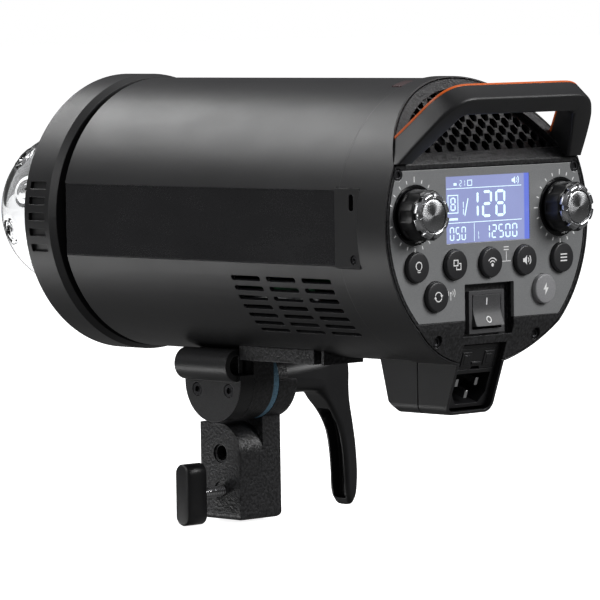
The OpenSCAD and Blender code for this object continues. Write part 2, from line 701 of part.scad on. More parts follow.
body_tube();
side_strip_right();
side_strip_left();
end_cover_right();
end_cover_left();
sensor_window();
rear_shell();
rear_bezel();
control_plate();
panel_screws();
vent_grille();
front_ring();
bayonet_plate();
release_slider();
reflector_dish();
tube_socket();
flash_tube();
modelling_lamp();
dome_clips();
glass_dome();
display_window();
display_module();
knob_rings();
knob_left();
knob_right();
knob_cap_left();
knob_cap_right();
encoders();
control_board();
button_lamp();
button_group();
button_slave();
button_sound();
button_menu();
button_mode();
button_test();
rocker_bezel();
rocker();
inlet_body();
inlet_pins();
fuse_drawer();
fuse();
handle();
handle_trim();
fan_frame();
fan_rotor();
capacitors();
power_board();
chassis();
base_plate();
tilt_head();
umbrella_clamp();
umbrella_jaw();
clamp_screws();
friction_washer();
pivot_bolt();
stand_block();
tilt_lever();
clamp_knob();
clamp_rod();
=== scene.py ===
"""Looks of a studio flash head: finishes, fine pieces and the studio around its CAD frame.

Sizes are in millimetres in the sub-assembly classes and turn into metres in Place.at.
Each place's x runs along the row's X, y comes out of the rear face and z goes up that face.
"""
import logging
import math
from dataclasses import dataclass, field
from enum import Enum
from typing import Callable, Iterable, Sequence

import bmesh
import bpy
from mathutils import Matrix, Vector


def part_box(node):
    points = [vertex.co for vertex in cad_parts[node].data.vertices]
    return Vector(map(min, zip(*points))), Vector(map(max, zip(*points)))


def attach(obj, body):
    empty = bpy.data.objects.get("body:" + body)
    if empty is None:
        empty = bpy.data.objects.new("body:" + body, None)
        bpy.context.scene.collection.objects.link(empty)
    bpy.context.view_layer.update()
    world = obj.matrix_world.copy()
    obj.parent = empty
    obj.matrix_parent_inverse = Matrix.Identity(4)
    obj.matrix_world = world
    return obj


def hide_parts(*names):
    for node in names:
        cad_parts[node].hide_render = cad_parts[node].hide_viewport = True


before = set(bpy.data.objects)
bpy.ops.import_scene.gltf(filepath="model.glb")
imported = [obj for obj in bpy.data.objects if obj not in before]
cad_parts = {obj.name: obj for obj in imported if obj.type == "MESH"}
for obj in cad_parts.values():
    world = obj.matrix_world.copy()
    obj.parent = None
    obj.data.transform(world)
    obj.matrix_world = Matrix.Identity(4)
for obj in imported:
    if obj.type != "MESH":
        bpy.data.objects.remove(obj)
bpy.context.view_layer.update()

LOG = logging.getLogger("flash_head")
MM = 0.001
Colour = tuple[float, float, float]
Point2 = tuple[float, float]


# ---------------------------------------------------------------- shader sums
class Wire:
    """A shader value that Python's operators can do sums with."""

    def __init__(self, graph: "Graph", socket: bpy.types.NodeSocket) -> None:
        """Wraps one output socket of a graph."""
        self.graph = graph
        self.socket = socket

    def _sum(self, operation: str, other: object, swapped: bool = False) -> "Wire":
        """Adds the Math node, or the Vector Math node, of one operation.

        Args:
            operation: the node's operation.
            other: a number, a triple or another wire.
            swapped: true if the other value comes first.

        Returns:
            The node's result.
        """
        first, second = (other, self) if swapped else (self, other)
        triples = [w for w in (first, second) if isinstance(w, tuple)
                   or isinstance(w, Wire) and w.socket.type in {"RGBA", "VECTOR"}]
        if not triples:
            return self.graph.add("ShaderNodeMath", {"operation": operation}, {0: first, 1: second})
        first, second = ((w,) * 3 if isinstance(w, (int, float)) else w for w in (first, second))
        return self.graph.add("ShaderNodeVectorMath", {"operation": operation}, {0: first, 1: second})

    def __add__(self, other: object) -> "Wire":
        """Sum."""
        return self._sum("ADD", other)

    def __radd__(self, other: object) -> "Wire":
        """Sum with the other value first."""
        return self._sum("ADD", other, True)

    def __sub__(self, other: object) -> "Wire":
        """Difference."""
        return self._sum("SUBTRACT", other)

    def __rsub__(self, other: object) -> "Wire":
        """Difference with the other value first."""
        return self._sum("SUBTRACT", other, True)

    def __mul__(self, other: object) -> "Wire":
        """Product."""
        return self._sum("MULTIPLY", other)

    def __rmul__(self, other: object) -> "Wire":
        """Product with the other value first."""
        return self._sum("MULTIPLY", other, True)

    def __truediv__(self, other: object) -> "Wire":
        """Quotient."""
        return self._sum("DIVIDE", other)

    def __rtruediv__(self, other: object) -> "Wire":
        """Quotient with the other value first."""
        return self._sum("DIVIDE", other, True)

    def __pow__(self, other: object) -> "Wire":
        """Power."""
        return self._sum("POWER", other)


class Graph:
    """The node tree of one material."""

    def __init__(self, name: str) -> None:
        """Starts an empty material of that name."""
        self.material = bpy.data.materials.new(name)
        self.material.use_nodes = True
        self.tree = self.material.node_tree
        self.tree.nodes.clear()

    def add(self, kind: str, settings: dict | None = None, sockets: dict | None = None,
            output: int | str = 0) -> Wire:
        """Adds one node.

        Args:
            kind: the node's type name.
            settings: attributes that are set first; "stops" are a ramp's (place, colour) pairs.
            sockets: the values or wires of its input sockets, by name or by number.
            output: the output socket that is wanted.

        Returns:
            That output.
        """
        node = self.tree.nodes.new(kind)
        for name, value in (settings or {}).items():
            if name == "stops":
                ramp = node.color_ramp
                while len(ramp.elements) < len(value):
                    ramp.elements.new(0.5)
                for element, (place, colour) in zip(ramp.elements, value):
                    element.position = place
                    element.color = (*colour, 1.0)
            else:
                setattr(node, name, value)
        for key, value in (sockets or {}).items():
            entry = node.inputs[key]
            if isinstance(value, Wire):
                self.tree.links.new(value.socket, entry)
            elif entry.type == "RGBA" and len(value) == 3:
                entry.default_value = (*value, 1.0)
            else:
                entry.default_value = value
        return Wire(self, node.outputs[output] if node.outputs else None)

    def place(self) -> Wire:
        """The surface point in the piece's own frame, in metres."""
        return self.add("ShaderNodeTexCoord", output="Object")

    def along(self, axis: str) -> Wire:
        """One coordinate of the surface point, in metres."""
        return self.add("ShaderNodeSeparateXYZ", None, {0: self.place()}, axis)

    def noise(self, size: float, detail: float = 2.0, stretch: Colour = (1, 1, 1)) -> Wire:
        """Soft noise from 0 to 1.

        Args:
            size: size of one grain in metres.
            detail: how many finer layers it has.
            stretch: how much each axis is squeezed.

        Returns:
            The noise value.
        """
        point = self.place() * stretch
        sockets = {"Vector": point, "Scale": 1 / size, "Detail": detail, "Roughness": 0.55}
        return self.add("ShaderNodeTexNoise", None, sockets)

    def step(self, value: Wire, low: float, high: float) -> Wire:
        """A smooth step from 0 at low to 1 at high."""
        sockets = {0: value, 1: low, 2: high, 3: 0.0, 4: 1.0}
        return self.add("ShaderNodeMapRange", {"interpolation_type": "SMOOTHSTEP"}, sockets)

    def mix(self, share: Wire | float, first: object, second: object) -> Wire:
        """A colour between two, by share."""
        return self.add("ShaderNodeMix", {"data_type": "RGBA"}, {0: share, 6: first, 7: second}, 2)

    def soft_edge(self, radius: float) -> tuple[Wire, Wire]:
        """Rounds the shading of every edge.

        Args:
            radius: how far the rounding reaches, in metres.

        Returns:
            The rounded normal, and a mask that is 1 on the edges, which the finishes use for a painted edge
            highlight.
        """
        rounded = self.add("ShaderNodeBevel", {"samples": 4}, {"Radius": radius}, "Normal")
        flat = self.add("ShaderNodeNewGeometry", output="Normal")
        facing = self.add("ShaderNodeVectorMath", {"operation": "DOT_PRODUCT"},
                          {0: rounded, 1: flat}, "Value")
        return rounded, self.step(1.0 - facing, 0.004, 0.12)

    def bump(self, height: Wire, normal: Wire | None = None) -> Wire:
        """Turns a height in metres into a normal."""
        sockets = {"Strength": 1.0, "Distance": 1.0, "Height": height}
        if normal is not None:
            sockets["Normal"] = normal
        return self.add("ShaderNodeBump", None, sockets)

    def surface(self, **sockets: object) -> bpy.types.Material:
        """Ends the material in a Principled shader whose sockets are named with underscores."""
        named = {key.replace("_", " "): value for key, value in sockets.items()}
        shader = self.add("ShaderNodeBsdfPrincipled", None, named)
        self.add("ShaderNodeOutputMaterial", None, {"Surface": shader})
        return self.material


def scaled(colour: Colour, share: float) -> Colour:
    """A colour made darker or lighter by a share."""
    return tuple(min(1.0, part * share) for part in colour)


# ------------------------------------------------------------------- finishes
@dataclass(frozen=True)
class Moulded:
    """Plastic or paint with a moulded grain, mottling and a painted highlight that lightens its edges."""

    name: str
    colour: Colour
    roughness: float = 0.45
    grain: float = 0.0007
    depth: float = 0.00004
    speckle: float = 0.25
    edge: float = 0.0005
    # how much lighter the painted edge highlight makes the colour
    edge_highlight_lift: float = 1.9
    coat: float = 0.0
    metallic: float = 0.0
    specular: float = 0.5

    def material(self) -> bpy.types.Material:
        """Builds the node tree."""
        g = Graph(self.name)
        rounded, painted_edge_highlight = g.soft_edge(self.edge)
        grain = g.noise(self.grain, 2.0)
        broad = g.noise(0.045, 3.0)
        smudge = g.noise(0.012, 4.0, (1.0, 0.35, 1.0))
        tone = 1.0 - self.speckle / 2 + g.step(grain, 0.36, 0.66) * self.speckle + (broad - 0.5) * 0.16
        # painted highlight: the colour is lightened along every edge, standing in for light caught by rounded
        # edges
        base = g.mix(painted_edge_highlight * 0.75, self.colour, scaled(self.colour, self.edge_highlight_lift)) * tone
        rough = self.roughness + (broad - 0.5) * 0.10 + (smudge - 0.5) * 0.09 + (grain - 0.5) * 0.12
        height = grain * self.depth + g.noise(0.006, 1.0) * 0.00002
        return g.surface(Base_Color=base, Roughness=rough - painted_edge_highlight * 0.06, Metallic=self.metallic,
                         Specular_IOR_Level=self.specular, Coat_Weight=self.coat, Coat_Roughness=0.12,
                         Normal=g.bump(height, rounded))


@dataclass(frozen=True)
class Metal:
    """Bare or plated metal with fine brush lines, faint handling marks and a painted highlight on its edges.
    """

    name: str
    colour: Colour
    roughness: float = 0.25
    brush: Colour = (1.0, 1.0, 1.0)
    line: float = 0.0009
    depth: float = 0.000004
    edge: float = 0.0003

    def material(self) -> bpy.types.Material:
        """Builds the node tree."""
        g = Graph(self.name)
        rounded, painted_edge_highlight = g.soft_edge(self.edge)
        lines = g.noise(self.line, 3.0, self.brush)
        marks = g.noise(0.009, 4.0)
        base = g.mix(g.step(marks, 0.35, 0.7), scaled(self.colour, 0.86), self.colour)
        # painted highlight: the colour is lightened along every edge, standing in for light caught by the
        # edges
        base = g.mix(painted_edge_highlight * 0.6, base, scaled(self.colour, 1.2))
        rough = self.roughness + (lines - 0.5) * 0.16 + (marks - 0.5) * 0.14
        return g.surface(Base_Color=base, Roughness=rough, Metallic=1.0,
                         Normal=g.bump(lines * self.depth, rounded))


@dataclass(frozen=True)
class SpunDisc:
    """Metal turned on a lathe: its rings draw every highlight out into a bow tie."""

    name: str
    colour: Colour
    spread: float = 0.85

    def material(self) -> bpy.types.Material:
        """Builds the node tree, for a piece whose own Z is the lathe's axis."""
        g = Graph(self.name)
        grit = g.noise(0.0006, 2.0)
        marks = g.noise(0.006, 3.0)
        tone = g.mix(g.step(grit, 0.3, 0.75), scaled(self.colour, 0.8), self.colour)
        return g.surface(Base_Color=tone, Metallic=1.0, Roughness=0.26 + (marks - 0.5) * 0.1,
                         Anisotropic=self.spread, Normal=g.bump(grit * 0.0000008))


@dataclass(frozen=True)
class Glass:
    """Clear or frosted glass with faint dust in its finish."""

    name: str
    colour: Colour
    roughness: float = 0.01
    ior: float = 1.47
    transmission: float = 1.0

    def material(self) -> bpy.types.Material:
        """Builds the node tree."""
        g = Graph(self.name)
        dust = g.noise(0.004, 4.0)
        waves = g.noise(0.02, 1.0)
        return g.surface(Base_Color=g.mix(dust, scaled(self.colour, 0.97), self.colour),
                         Roughness=self.roughness + g.step(dust, 0.55, 0.8) * 0.05, IOR=self.ior,
                         Transmission_Weight=self.transmission, Normal=g.bump(waves * 0.00006))


@dataclass(frozen=True)
class LitScreen:
    """A backlit display, deeper blue along the side where its edge light sits."""

    name: str
    colour: Colour
    edge_colour: Colour
    edge_x: float
    edge_width: float
    strength: float = 0.8

    def material(self) -> bpy.types.Material:
        """Builds the node tree."""
        g = Graph(self.name)
        cloud = g.noise(0.03, 2.0)
        cells = g.noise(0.0006, 1.0)
        sheet = g.mix(cloud, scaled(self.colour, 0.86), scaled(self.colour, 1.1))
        deep = g.step(g.along("X"), self.edge_x + self.edge_width, self.edge_x + self.edge_width * 0.7)
        glow = g.mix(deep, sheet, self.edge_colour) * (0.96 + cells * 0.08)
        return g.surface(Base_Color=(0.05, 0.05, 0.08), Emission_Color=glow, Emission_Strength=self.strength,
                         Roughness=0.12 + cloud * 0.06)


@dataclass(frozen=True)
class Ink:
    """Screen-printed paint or a lit segment, a little uneven at its surface; glow is a lit segment's own
    light, and on print it is a painted glow.
    """

    name: str
    colour: Colour
    glow: float = 0.0

    def material(self) -> bpy.types.Material:
        """Builds the node tree."""
        g = Graph(self.name)
        uneven = g.noise(0.0009, 3.0)
        base = g.mix(uneven, scaled(self.colour, 0.85), self.colour)
        # emission: a lit segment's own light, or on print a painted glow
        return g.surface(Base_Color=base, Roughness=0.5 + uneven * 0.15, Emission_Color=base,
                         Emission_Strength=self.glow)


class Paintbox:
    """Makes each finish's material once and hands it out."""

    # the eighth value of each Moulded finish sets how much its painted edge highlight lightens the colour
    black = Moulded("grained_black", (0.0125, 0.0125, 0.0135), 0.42, 0.0006, 0.00003, 0.35, 0.0005, 3.2)
    shell = Moulded("grained_shell", (0.0175, 0.0175, 0.0187), 0.32, 0.0014, 0.00022, 1.3, 0.0007, 2.2)
    strip = Moulded("smooth_band", (0.019, 0.019, 0.0205), 0.26, 0.0005, 0.000008, 0.12, 0.0004, 5.0)
    plate = Moulded("satin_grey_plate", (0.3, 0.305, 0.31), 0.38, 0.0005, 0.00001, 0.12, 0.0004, 2.2,
                    metallic=0.35)
    gloss = Moulded("gloss_black", (0.008, 0.008, 0.009), 0.16, 0.0006, 0.000004, 0.1, 0.0004, 3.0, coat=0.3)
    soft = Moulded("soft_black", (0.011, 0.011, 0.012), 0.36, 0.0005, 0.00001, 0.15, 0.0006, 2.6)
    button = Moulded("button_black", (0.02, 0.02, 0.022), 0.4, 0.0005, 0.000012, 0.15, 0.0003, 2.6)
    pale = Moulded("pale_button", (0.3, 0.3, 0.31), 0.35, 0.0006, 0.00001, 0.15, 0.0003, 1.4)
    grey = Moulded("switch_grey", (0.07, 0.07, 0.073), 0.42, 0.0006, 0.00003, 0.25, 0.0005, 2.2)
    socket = Moulded("inlet_black", (0.008, 0.008, 0.009), 0.4, 0.0007, 0.00002, 0.2, 0.0004, 4.0)
    powder = Moulded("powder_coat", (0.021, 0.021, 0.0225), 0.38, 0.0015, 0.0003, 1.3, 0.0008, 2.6)
    fine_powder = Moulded("fine_powder", (0.02, 0.02, 0.0215), 0.4, 0.0006, 0.00006, 0.6, 0.0007, 2.8)
    orange = Moulded("orange_trim", (0.78, 0.14, 0.015), 0.34, 0.0006, 0.00001, 0.1, 0.0003, 1.3)
    blue = Moulded("blue_nylon", (0.17, 0.34, 0.48), 0.5, 0.0007, 0.00004, 0.4, 0.0003, 1.4)
    red = Moulded("red_plastic", (0.4, 0.02, 0.012), 0.35, 0.0006, 0.00002, 0.15, 0.0004, 1.4)
    window = Moulded("dark_red_window", (0.05, 0.004, 0.005), 0.08, 0.0006, 0.000002, 0.1, 0.0003, 1.5,
                     coat=0.8)
    ceramic = Moulded("glazed_ceramic", (0.82, 0.8, 0.75), 0.3, 0.0009, 0.00002, 0.08, 0.0005, 1.1)
    board = Moulded("circuit_board", (0.02, 0.12, 0.05), 0.3, 0.0009, 0.00003, 0.4, 0.0002, 1.2)
    sleeve = Moulded("capacitor_sleeve", (0.02, 0.03, 0.12), 0.25, 0.0009, 0.00001, 0.2, 0.0006, 1.5)
    screw = Metal("blackened_screw", (0.09, 0.09, 0.095), 0.3)
    steel = Metal("bright_steel", (0.62, 0.62, 0.63), 0.22, (0.15, 1.0, 1.0))
    crown = Metal("knob_crown", (0.62, 0.625, 0.64), 0.24, (1.0, 0.2, 1.0), depth=0.0000008)
    spun = SpunDisc("spun_disc", (0.5, 0.505, 0.515))
    aluminium = Metal("brushed_sheet", (0.66, 0.665, 0.68), 0.34, (0.12, 1.0, 1.0))
    mirror = Metal("polished_dish", (0.86, 0.86, 0.87), 0.12)
    clear = Glass("clear_dome_glass", (0.985, 0.99, 0.995))
    frosted = Glass("frosted_tube_glass", (0.95, 0.96, 0.98), 0.3)
    lamp = Glass("lamp_glass", (0.98, 0.93, 0.8), 0.12)
    fuse = Glass("fuse_glass", (0.9, 0.92, 0.9), 0.05)
    # white print with a faint emission: a painted glow that keeps the marks bright in any light
    glowing_print_white = Ink("glowing_print_white", (0.9, 0.9, 0.9), 0.12)
    segment = Ink("lit_segment", (0.72, 0.93, 1.0), 0.75)

    def __init__(self) -> None:
        """Starts with nothing mixed."""
        self.mixed: dict[str, bpy.types.Material] = {}

    def get(self, finish: object) -> bpy.types.Material:
        """The material of a finish, made on first use."""
        if finish.name not in self.mixed:
            self.mixed[finish.name] = finish.material()
        return self.mixed[finish.name]

    def dress(self, finish: object, *nodes: str) -> None:
        """Puts a finish on CAD nodes."""
        for name in nodes:
            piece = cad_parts[name]
            if not piece.material_slots:
                piece.data.materials.append(None)
            for slot in piece.material_slots:
                slot.material = self.get(finish)
            LOG.info("dressed %s in %s", name, finish.name)


# ------------------------------------------------------------------ mesh work
class Axis(Enum):
    """The axis that a shape is turned round or drawn out along."""

    X = "x"
    Y = "y"


@dataclass(frozen=True)
class Place:
    """A working frame: its origin in metres, and how far its face leans forward, in degrees."""

    origin: Vector
    lean: float = 0.0

    def at(self, x: float, y: float, z: float) -> Vector:
        """A point given in this place's millimetres, in the row frame."""
        c, s = math.cos(math.radians(self.lean)), math.sin(math.radians(self.lean))
        return self.origin + Vector((x, y * c + z * s, z * c - y * s)) * MM

    def moved(self, x: float, y: float, z: float, lean: float = 0.0) -> "Place":
        """A place whose origin is a point of this one, leaning further."""
        return Place(self.at(x, y, z), self.lean + lean)


def arc(cx: float, cz: float, radius: float, start: float, end: float, steps: int) -> list[Point2]:
    """Points along an arc.

    Args:
        cx: centre, across.
        cz: centre, up.
        radius: its radius.
        start: first angle in degrees.
        end: last angle in degrees.
        steps: number of steps.

    Returns:
        steps + 1 points.
    """
    angles = (math.radians(start + (end - start) * i / steps) for i in range(steps + 1))
    return [(cx + radius * math.cos(a), cz + radius * math.sin(a)) for a in angles]


def smooth_line(points: Sequence[Sequence[float]], steps: int) -> list[tuple[float, ...]]:
    """A smooth line through points with any number of values each.

    Args:
        points: the points that it passes through.
        steps: steps between two of them.

    Returns:
        The points of the line.
    """
    line = []
    for i in range(len(points) - 1):
        before, start = points[max(i - 1, 0)], points[i]
        end, after = points[i + 1], points[min(i + 2, len(points) - 1)]
        for k in range(steps):
            t = k / steps
            line.append(tuple(
                0.5 * (2 * b + (c - a) * t + (2 * a - 5 * b + 4 * c - d) * t * t
                       + (3 * b - a - 3 * c + d) * t ** 3)
                for a, b, c, d in zip(before, start, end, after)))
    return [*line, tuple(points[-1])]


def soft_box(half_a: float, half_b: float, radius: float, flat: int = 6, corner: int = 6) -> list[Point2]:
    """A rectangle with round corners whose number of points never changes.

    Args:
        half_a: half its first size.
        half_b: half its second size.
        radius: the corners' radius.
        flat: steps along each flat side.
        corner: steps round each corner.

    Returns:
        Its points, anticlockwise from the lower end of the first side.
    """
    radius = min(radius, 0.97 * half_a, 0.97 * half_b)
    a, b = half_a - radius, half_b - radius
    points: list[Point2] = []
    sides = [((half_a, -b), (half_a, b), (a, b), 0), ((a, half_b), (-a, half_b), (-a, b), 90),
             ((-half_a, b), (-half_a, -b), (-a, -b), 180), ((-a, -half_b), (a, -half_b), (a, -b), 270)]
    for (x0, z0), (x1, z1), centre, angle in sides:
        points += [(x0 + (x1 - x0) * k / flat, z0 + (z1 - z0) * k / flat) for k in range(flat)]
        points += arc(*centre, radius, angle, angle + 90, corner)[:-1]
    return points


class Form:
    """A mesh that is put together in the millimetres of one place."""

    def __init__(self, place: Place) -> None:
        """Starts an empty mesh there."""
        self.place = place
        self.mesh = bmesh.new()

    def ring(self, points: Iterable[Sequence[float]]) -> list[bmesh.types.BMVert]:
        """Adds points, given as (x, y, z)."""
        return [self.mesh.verts.new(self.place.at(*p)) for p in points]

    def skin(self, rings: Sequence[list[bmesh.types.BMVert]]) -> None:
        """Joins closed rings, each of which has as many points as the next or just one."""
        for low, high in zip(rings, rings[1:]):
            count = max(len(low), len(high))
            for i in range(count):
                j = (i + 1) % count
                corners = [low[i % len(low)], low[j % len(low)], high[j % len(high)], high[i % len(high)]]
                self.mesh.faces.new(list(dict.fromkeys(corners)))

    def lathe(self, profile: Sequence[Point2], centre: Sequence[float] = (0, 0, 0), axis: Axis = Axis.Y,
              steps: int = 96, shape: Callable[[float, float, float], float] | None = None) -> "Form":
        """Turns a profile round an axis.

        Args:
            profile: (radius, place along the axis) pairs.
            centre: the point that the axis passes through.
            axis: its direction.
            steps: steps in a full turn.
            shape: gives the radius at (angle, radius, place along the axis), if it isn't round.

        Returns:
            This form.
        """
        rings = []
        for radius, along in profile:
            points = []
            for i in range(steps if radius > 1e-6 else 1):
                angle = 2 * math.pi * i / steps
                r = shape(angle, radius, along) if shape else radius
                across, up = r * math.cos(angle), r * math.sin(angle)
                local = (across, along, up) if axis is Axis.Y else (along, across, up)
                points.append([c + v for c, v in zip(centre, local)])
            rings.append(self.ring(points))
        self.skin(rings)
        return self

    def prism(self, outline: Sequence[Point2], low: float, high: float, axis: Axis = Axis.Y) -> "Form":
        """Draws an outline out between two places along an axis.

        Args:
            outline: (x, z) points for the Y axis, or (y, z) points for the X axis.
            low: where it starts.
            high: where it ends.
            axis: the axis it's drawn out along.

        Returns:
            This form.
        """
        rings = [self.ring((a, t, b) if axis is Axis.Y else (t, a, b) for a, b in outline)
                 for t in (low, high)]
        self.skin(rings)
        for ring in rings:
            self.mesh.faces.new(ring)
        return self

    def ends(self, *rings: list[bmesh.types.BMVert]) -> None:
        """Closes open ends."""
        for ring in rings:
            self.mesh.faces.new(ring)

    def cut(self, point: Sequence[float], away: Sequence[float]) -> "Form":
        """Cuts off what lies beyond a plane, and closes the cut.

        Args:
            point: a point on the plane, in this place's millimetres.
            away: the direction, in the row frame, of the side that goes.

        Returns:
            This form.
        """
        parts = [*self.mesh.verts, *self.mesh.edges, *self.mesh.faces]
        cut = bmesh.ops.bisect_plane(self.mesh, geom=parts, plane_co=self.place.at(*point),
                                     plane_no=Vector(away).normalized(), clear_outer=True)
        edges = [e for e in cut["geom_cut"] if isinstance(e, bmesh.types.BMEdge)]
        bmesh.ops.holes_fill(self.mesh, edges=edges, sides=0)
        return self

    def piece(self, name: str, finish: object, body: str, replaces: Sequence[str] = (), slot: str = "",
              bevel: float = 0.0, smooth: float = 32.0) -> bpy.types.Object:
        """Ends the mesh as one piece that rides on a body.

        Args:
            name: the piece's name.
            finish: what it's finished in.
            body: the CAD body that carries it.
            replaces: the CAD nodes it stands for.
            slot: the record's material slot; not used.
            bevel: width of the bevel on sharp edges, in millimetres.
            smooth: sharpest angle that is shaded smooth, in degrees.

        Returns:
            The piece.
        """
        bmesh.ops.remove_doubles(self.mesh, verts=self.mesh.verts, dist=1e-7)
        bmesh.ops.recalc_face_normals(self.mesh, faces=self.mesh.faces)
        data = bpy.data.meshes.new(name)
        self.mesh.to_mesh(data)
        self.mesh.free()
        data.polygons.foreach_set("use_smooth", [True] * len(data.polygons))
        data.set_sharp_from_angle(angle=math.radians(smooth))
        data.materials.append(PAINT.get(finish))
        obj = bpy.data.objects.new(name, data)
        bpy.context.scene.collection.objects.link(obj)
        if bevel:
            rounding = obj.modifiers.new("rounding", "BEVEL")
            rounding.width, rounding.segments = bevel * MM, 3
            rounding.limit_method, rounding.angle_limit = "ANGLE", math.radians(smooth)
            obj.modifiers.new("flat_faces", "WEIGHTED_NORMAL").keep_sharp = True
        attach(obj, body)
        if replaces:
            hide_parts(*replaces)
        LOG.info("made %s on %s (%d faces)", name, body, len(data.polygons))
        return obj


def lay_on_side(piece: bpy.types.Object, middle: Vector) -> None:
    """Turns a piece's own frame, but not the piece, so that its Z is its turning axis.

    Args:
        piece: the piece.
        middle: a point on the axis, where the frame goes.
    """
    turned = Matrix.Translation(middle) @ Matrix.Rotation(math.radians(-90), 4, "X")
    piece.data.transform(turned.inverted() @ piece.matrix_world)
    piece.matrix_world = turned


class Print(Form):
    """Flat marks on a face, laid out as a reader sees them: right is the reader's right."""

    def __init__(self, place: Place, low: float = -0.02, high: float = 0.035) -> None:
        """Starts marks that lie between two heights over the face, in millimetres."""
        super().__init__(place)
        self.low = low
        self.high = high

    def patch(self, outline: Sequence[Point2]) -> "Print":
        """Adds one filled outline of (right, up) points."""
        self.prism([(-right, up) for right, up in outline], self.low, self.high)
        return self

    def bar(self, left: float, right: float, low: float, high: float) -> "Print":
        """Adds a rectangle."""
        return self.patch([(left, low), (right, low), (right, high), (left, high)])

    def stroke(self, start: Point2, end: Point2, width: float) -> "Print":
        """Adds a straight line of a width."""
        length = math.dist(start, end)
        a, b = (end[0] - start[0]) / length * width / 2, (end[1] - start[1]) / length * width / 2
        return self.patch([(start[0] + b, start[1] - a), (end[0] + b, end[1] - a),
                           (end[0] - b, end[1] + a), (start[0] - b, start[1] + a)])

    def bow(self, cx: float, cz: float, radius: float, width: float, start: float, end: float) -> "Print":
        """Adds part of a ring, between two angles in degrees."""
        steps = max(8, int(abs(end - start) / 12))
        outer = arc(cx, cz, radius + width / 2, start, end, steps)
        inner = arc(cx, cz, radius - width / 2, end, start, steps)
        if abs(end - start) >= 360:
            half = (start + end) / 2
            return self.bow(cx, cz, radius, width, start, half).bow(cx, cz, radius, width, half, end)
        return self.patch(outer + inner)

    def frame_of(self, left: float, right: float, low: float, high: float, width: float) -> "Print":
        """Adds the outline of a rectangle."""
        self.bar(left, right, low, low + width).bar(left, right, high - width, high)
        return self.bar(left, left + width, low + width, high - width).bar(
            right - width, right, low + width, high - width)

    def digit(self, number: str, left: float, low: float, width: float, height: float) -> "Print":
        """Adds one seven-segment digit."""
        lit = {"0": "abcdef", "1": "bc", "2": "abged", "3": "abgcd", "4": "fgbc", "5": "afgcd",
               "6": "afgedc", "7": "abc", "8": "abcdefg", "9": "abcdfg", "-": "g"}[number]
        thick, gap = width * 0.2, width * 0.045
        right, high, middle = left + width, low + height, low + height / 2
        flat = {"a": high - thick / 2, "g": middle, "d": low + thick / 2}
        upright = {"f": (left, middle, high), "b": (right - thick, middle, high),
                   "e": (left, low, middle), "c": (right - thick, low, middle)}
        for name in lit:
            if name in flat:
                z, a, b = flat[name], left + thick * 0.6 + gap, right - thick * 0.6 - gap
                self.patch([(a, z), (a + thick / 2, z - thick / 2), (b - thick / 2, z - thick / 2), (b, z),
                            (b - thick / 2, z + thick / 2), (a + thick / 2, z + thick / 2)])
            else:
                x, a, b = upright[name]
                a, b = a + gap * 2, b - gap * 2
                self.patch([(x + thick / 2, a), (x + thick, a + thick / 2), (x + thick, b - thick / 2),
                            (x + thick / 2, b), (x, b - thick / 2), (x, a + thick / 2)])
        return self

    def number(self, digits: str, left: float, low: float, width: float, height: float) -> "Print":
        """Adds a row of seven-segment digits, whose pitch is a third wider than each digit."""
        for i, digit in enumerate(digits):
            self.digit(digit, left + i * width * 1.33, low, width, height)
        return self


PAINT = Paintbox()
PANEL_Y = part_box("control_plate")[1].y
AXIS_Z = sum(corner.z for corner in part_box("front_ring")) / 2
LAMP = Place(Vector((0, PANEL_Y, AXIS_Z)))


def middle_of(node: str) -> Vector:
    """The centre of a CAD node's box in the lamp's millimetres."""
    low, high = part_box(node)
    return ((low + high) / 2 - LAMP.origin) / MM


# -------------------------------------------------------------- sub-assemblies
@dataclass
class Housing:
    """Tube, side bands, rear shell and the folded rear face."""

    black_nodes: tuple[str, ...] = ("body_tube", "end_cover_right", "end_cover_left")

    def build(self) -> None:
        """Dresses the CAD nodes."""
        PAINT.dress(Paintbox.black, *self.black_nodes)
        PAINT.dress(Paintbox.strip, "side_strip_right", "side_strip_left")
        PAINT.dress(Paintbox.shell, "rear_bezel", "vent_grille")
        PAINT.dress(Paintbox.black, "rear_shell")
        PAINT.dress(Paintbox.plate, "control_plate")
        PAINT.dress(Paintbox.window, "sensor_window")
        PAINT.dress(Paintbox.screw, "panel_screws")


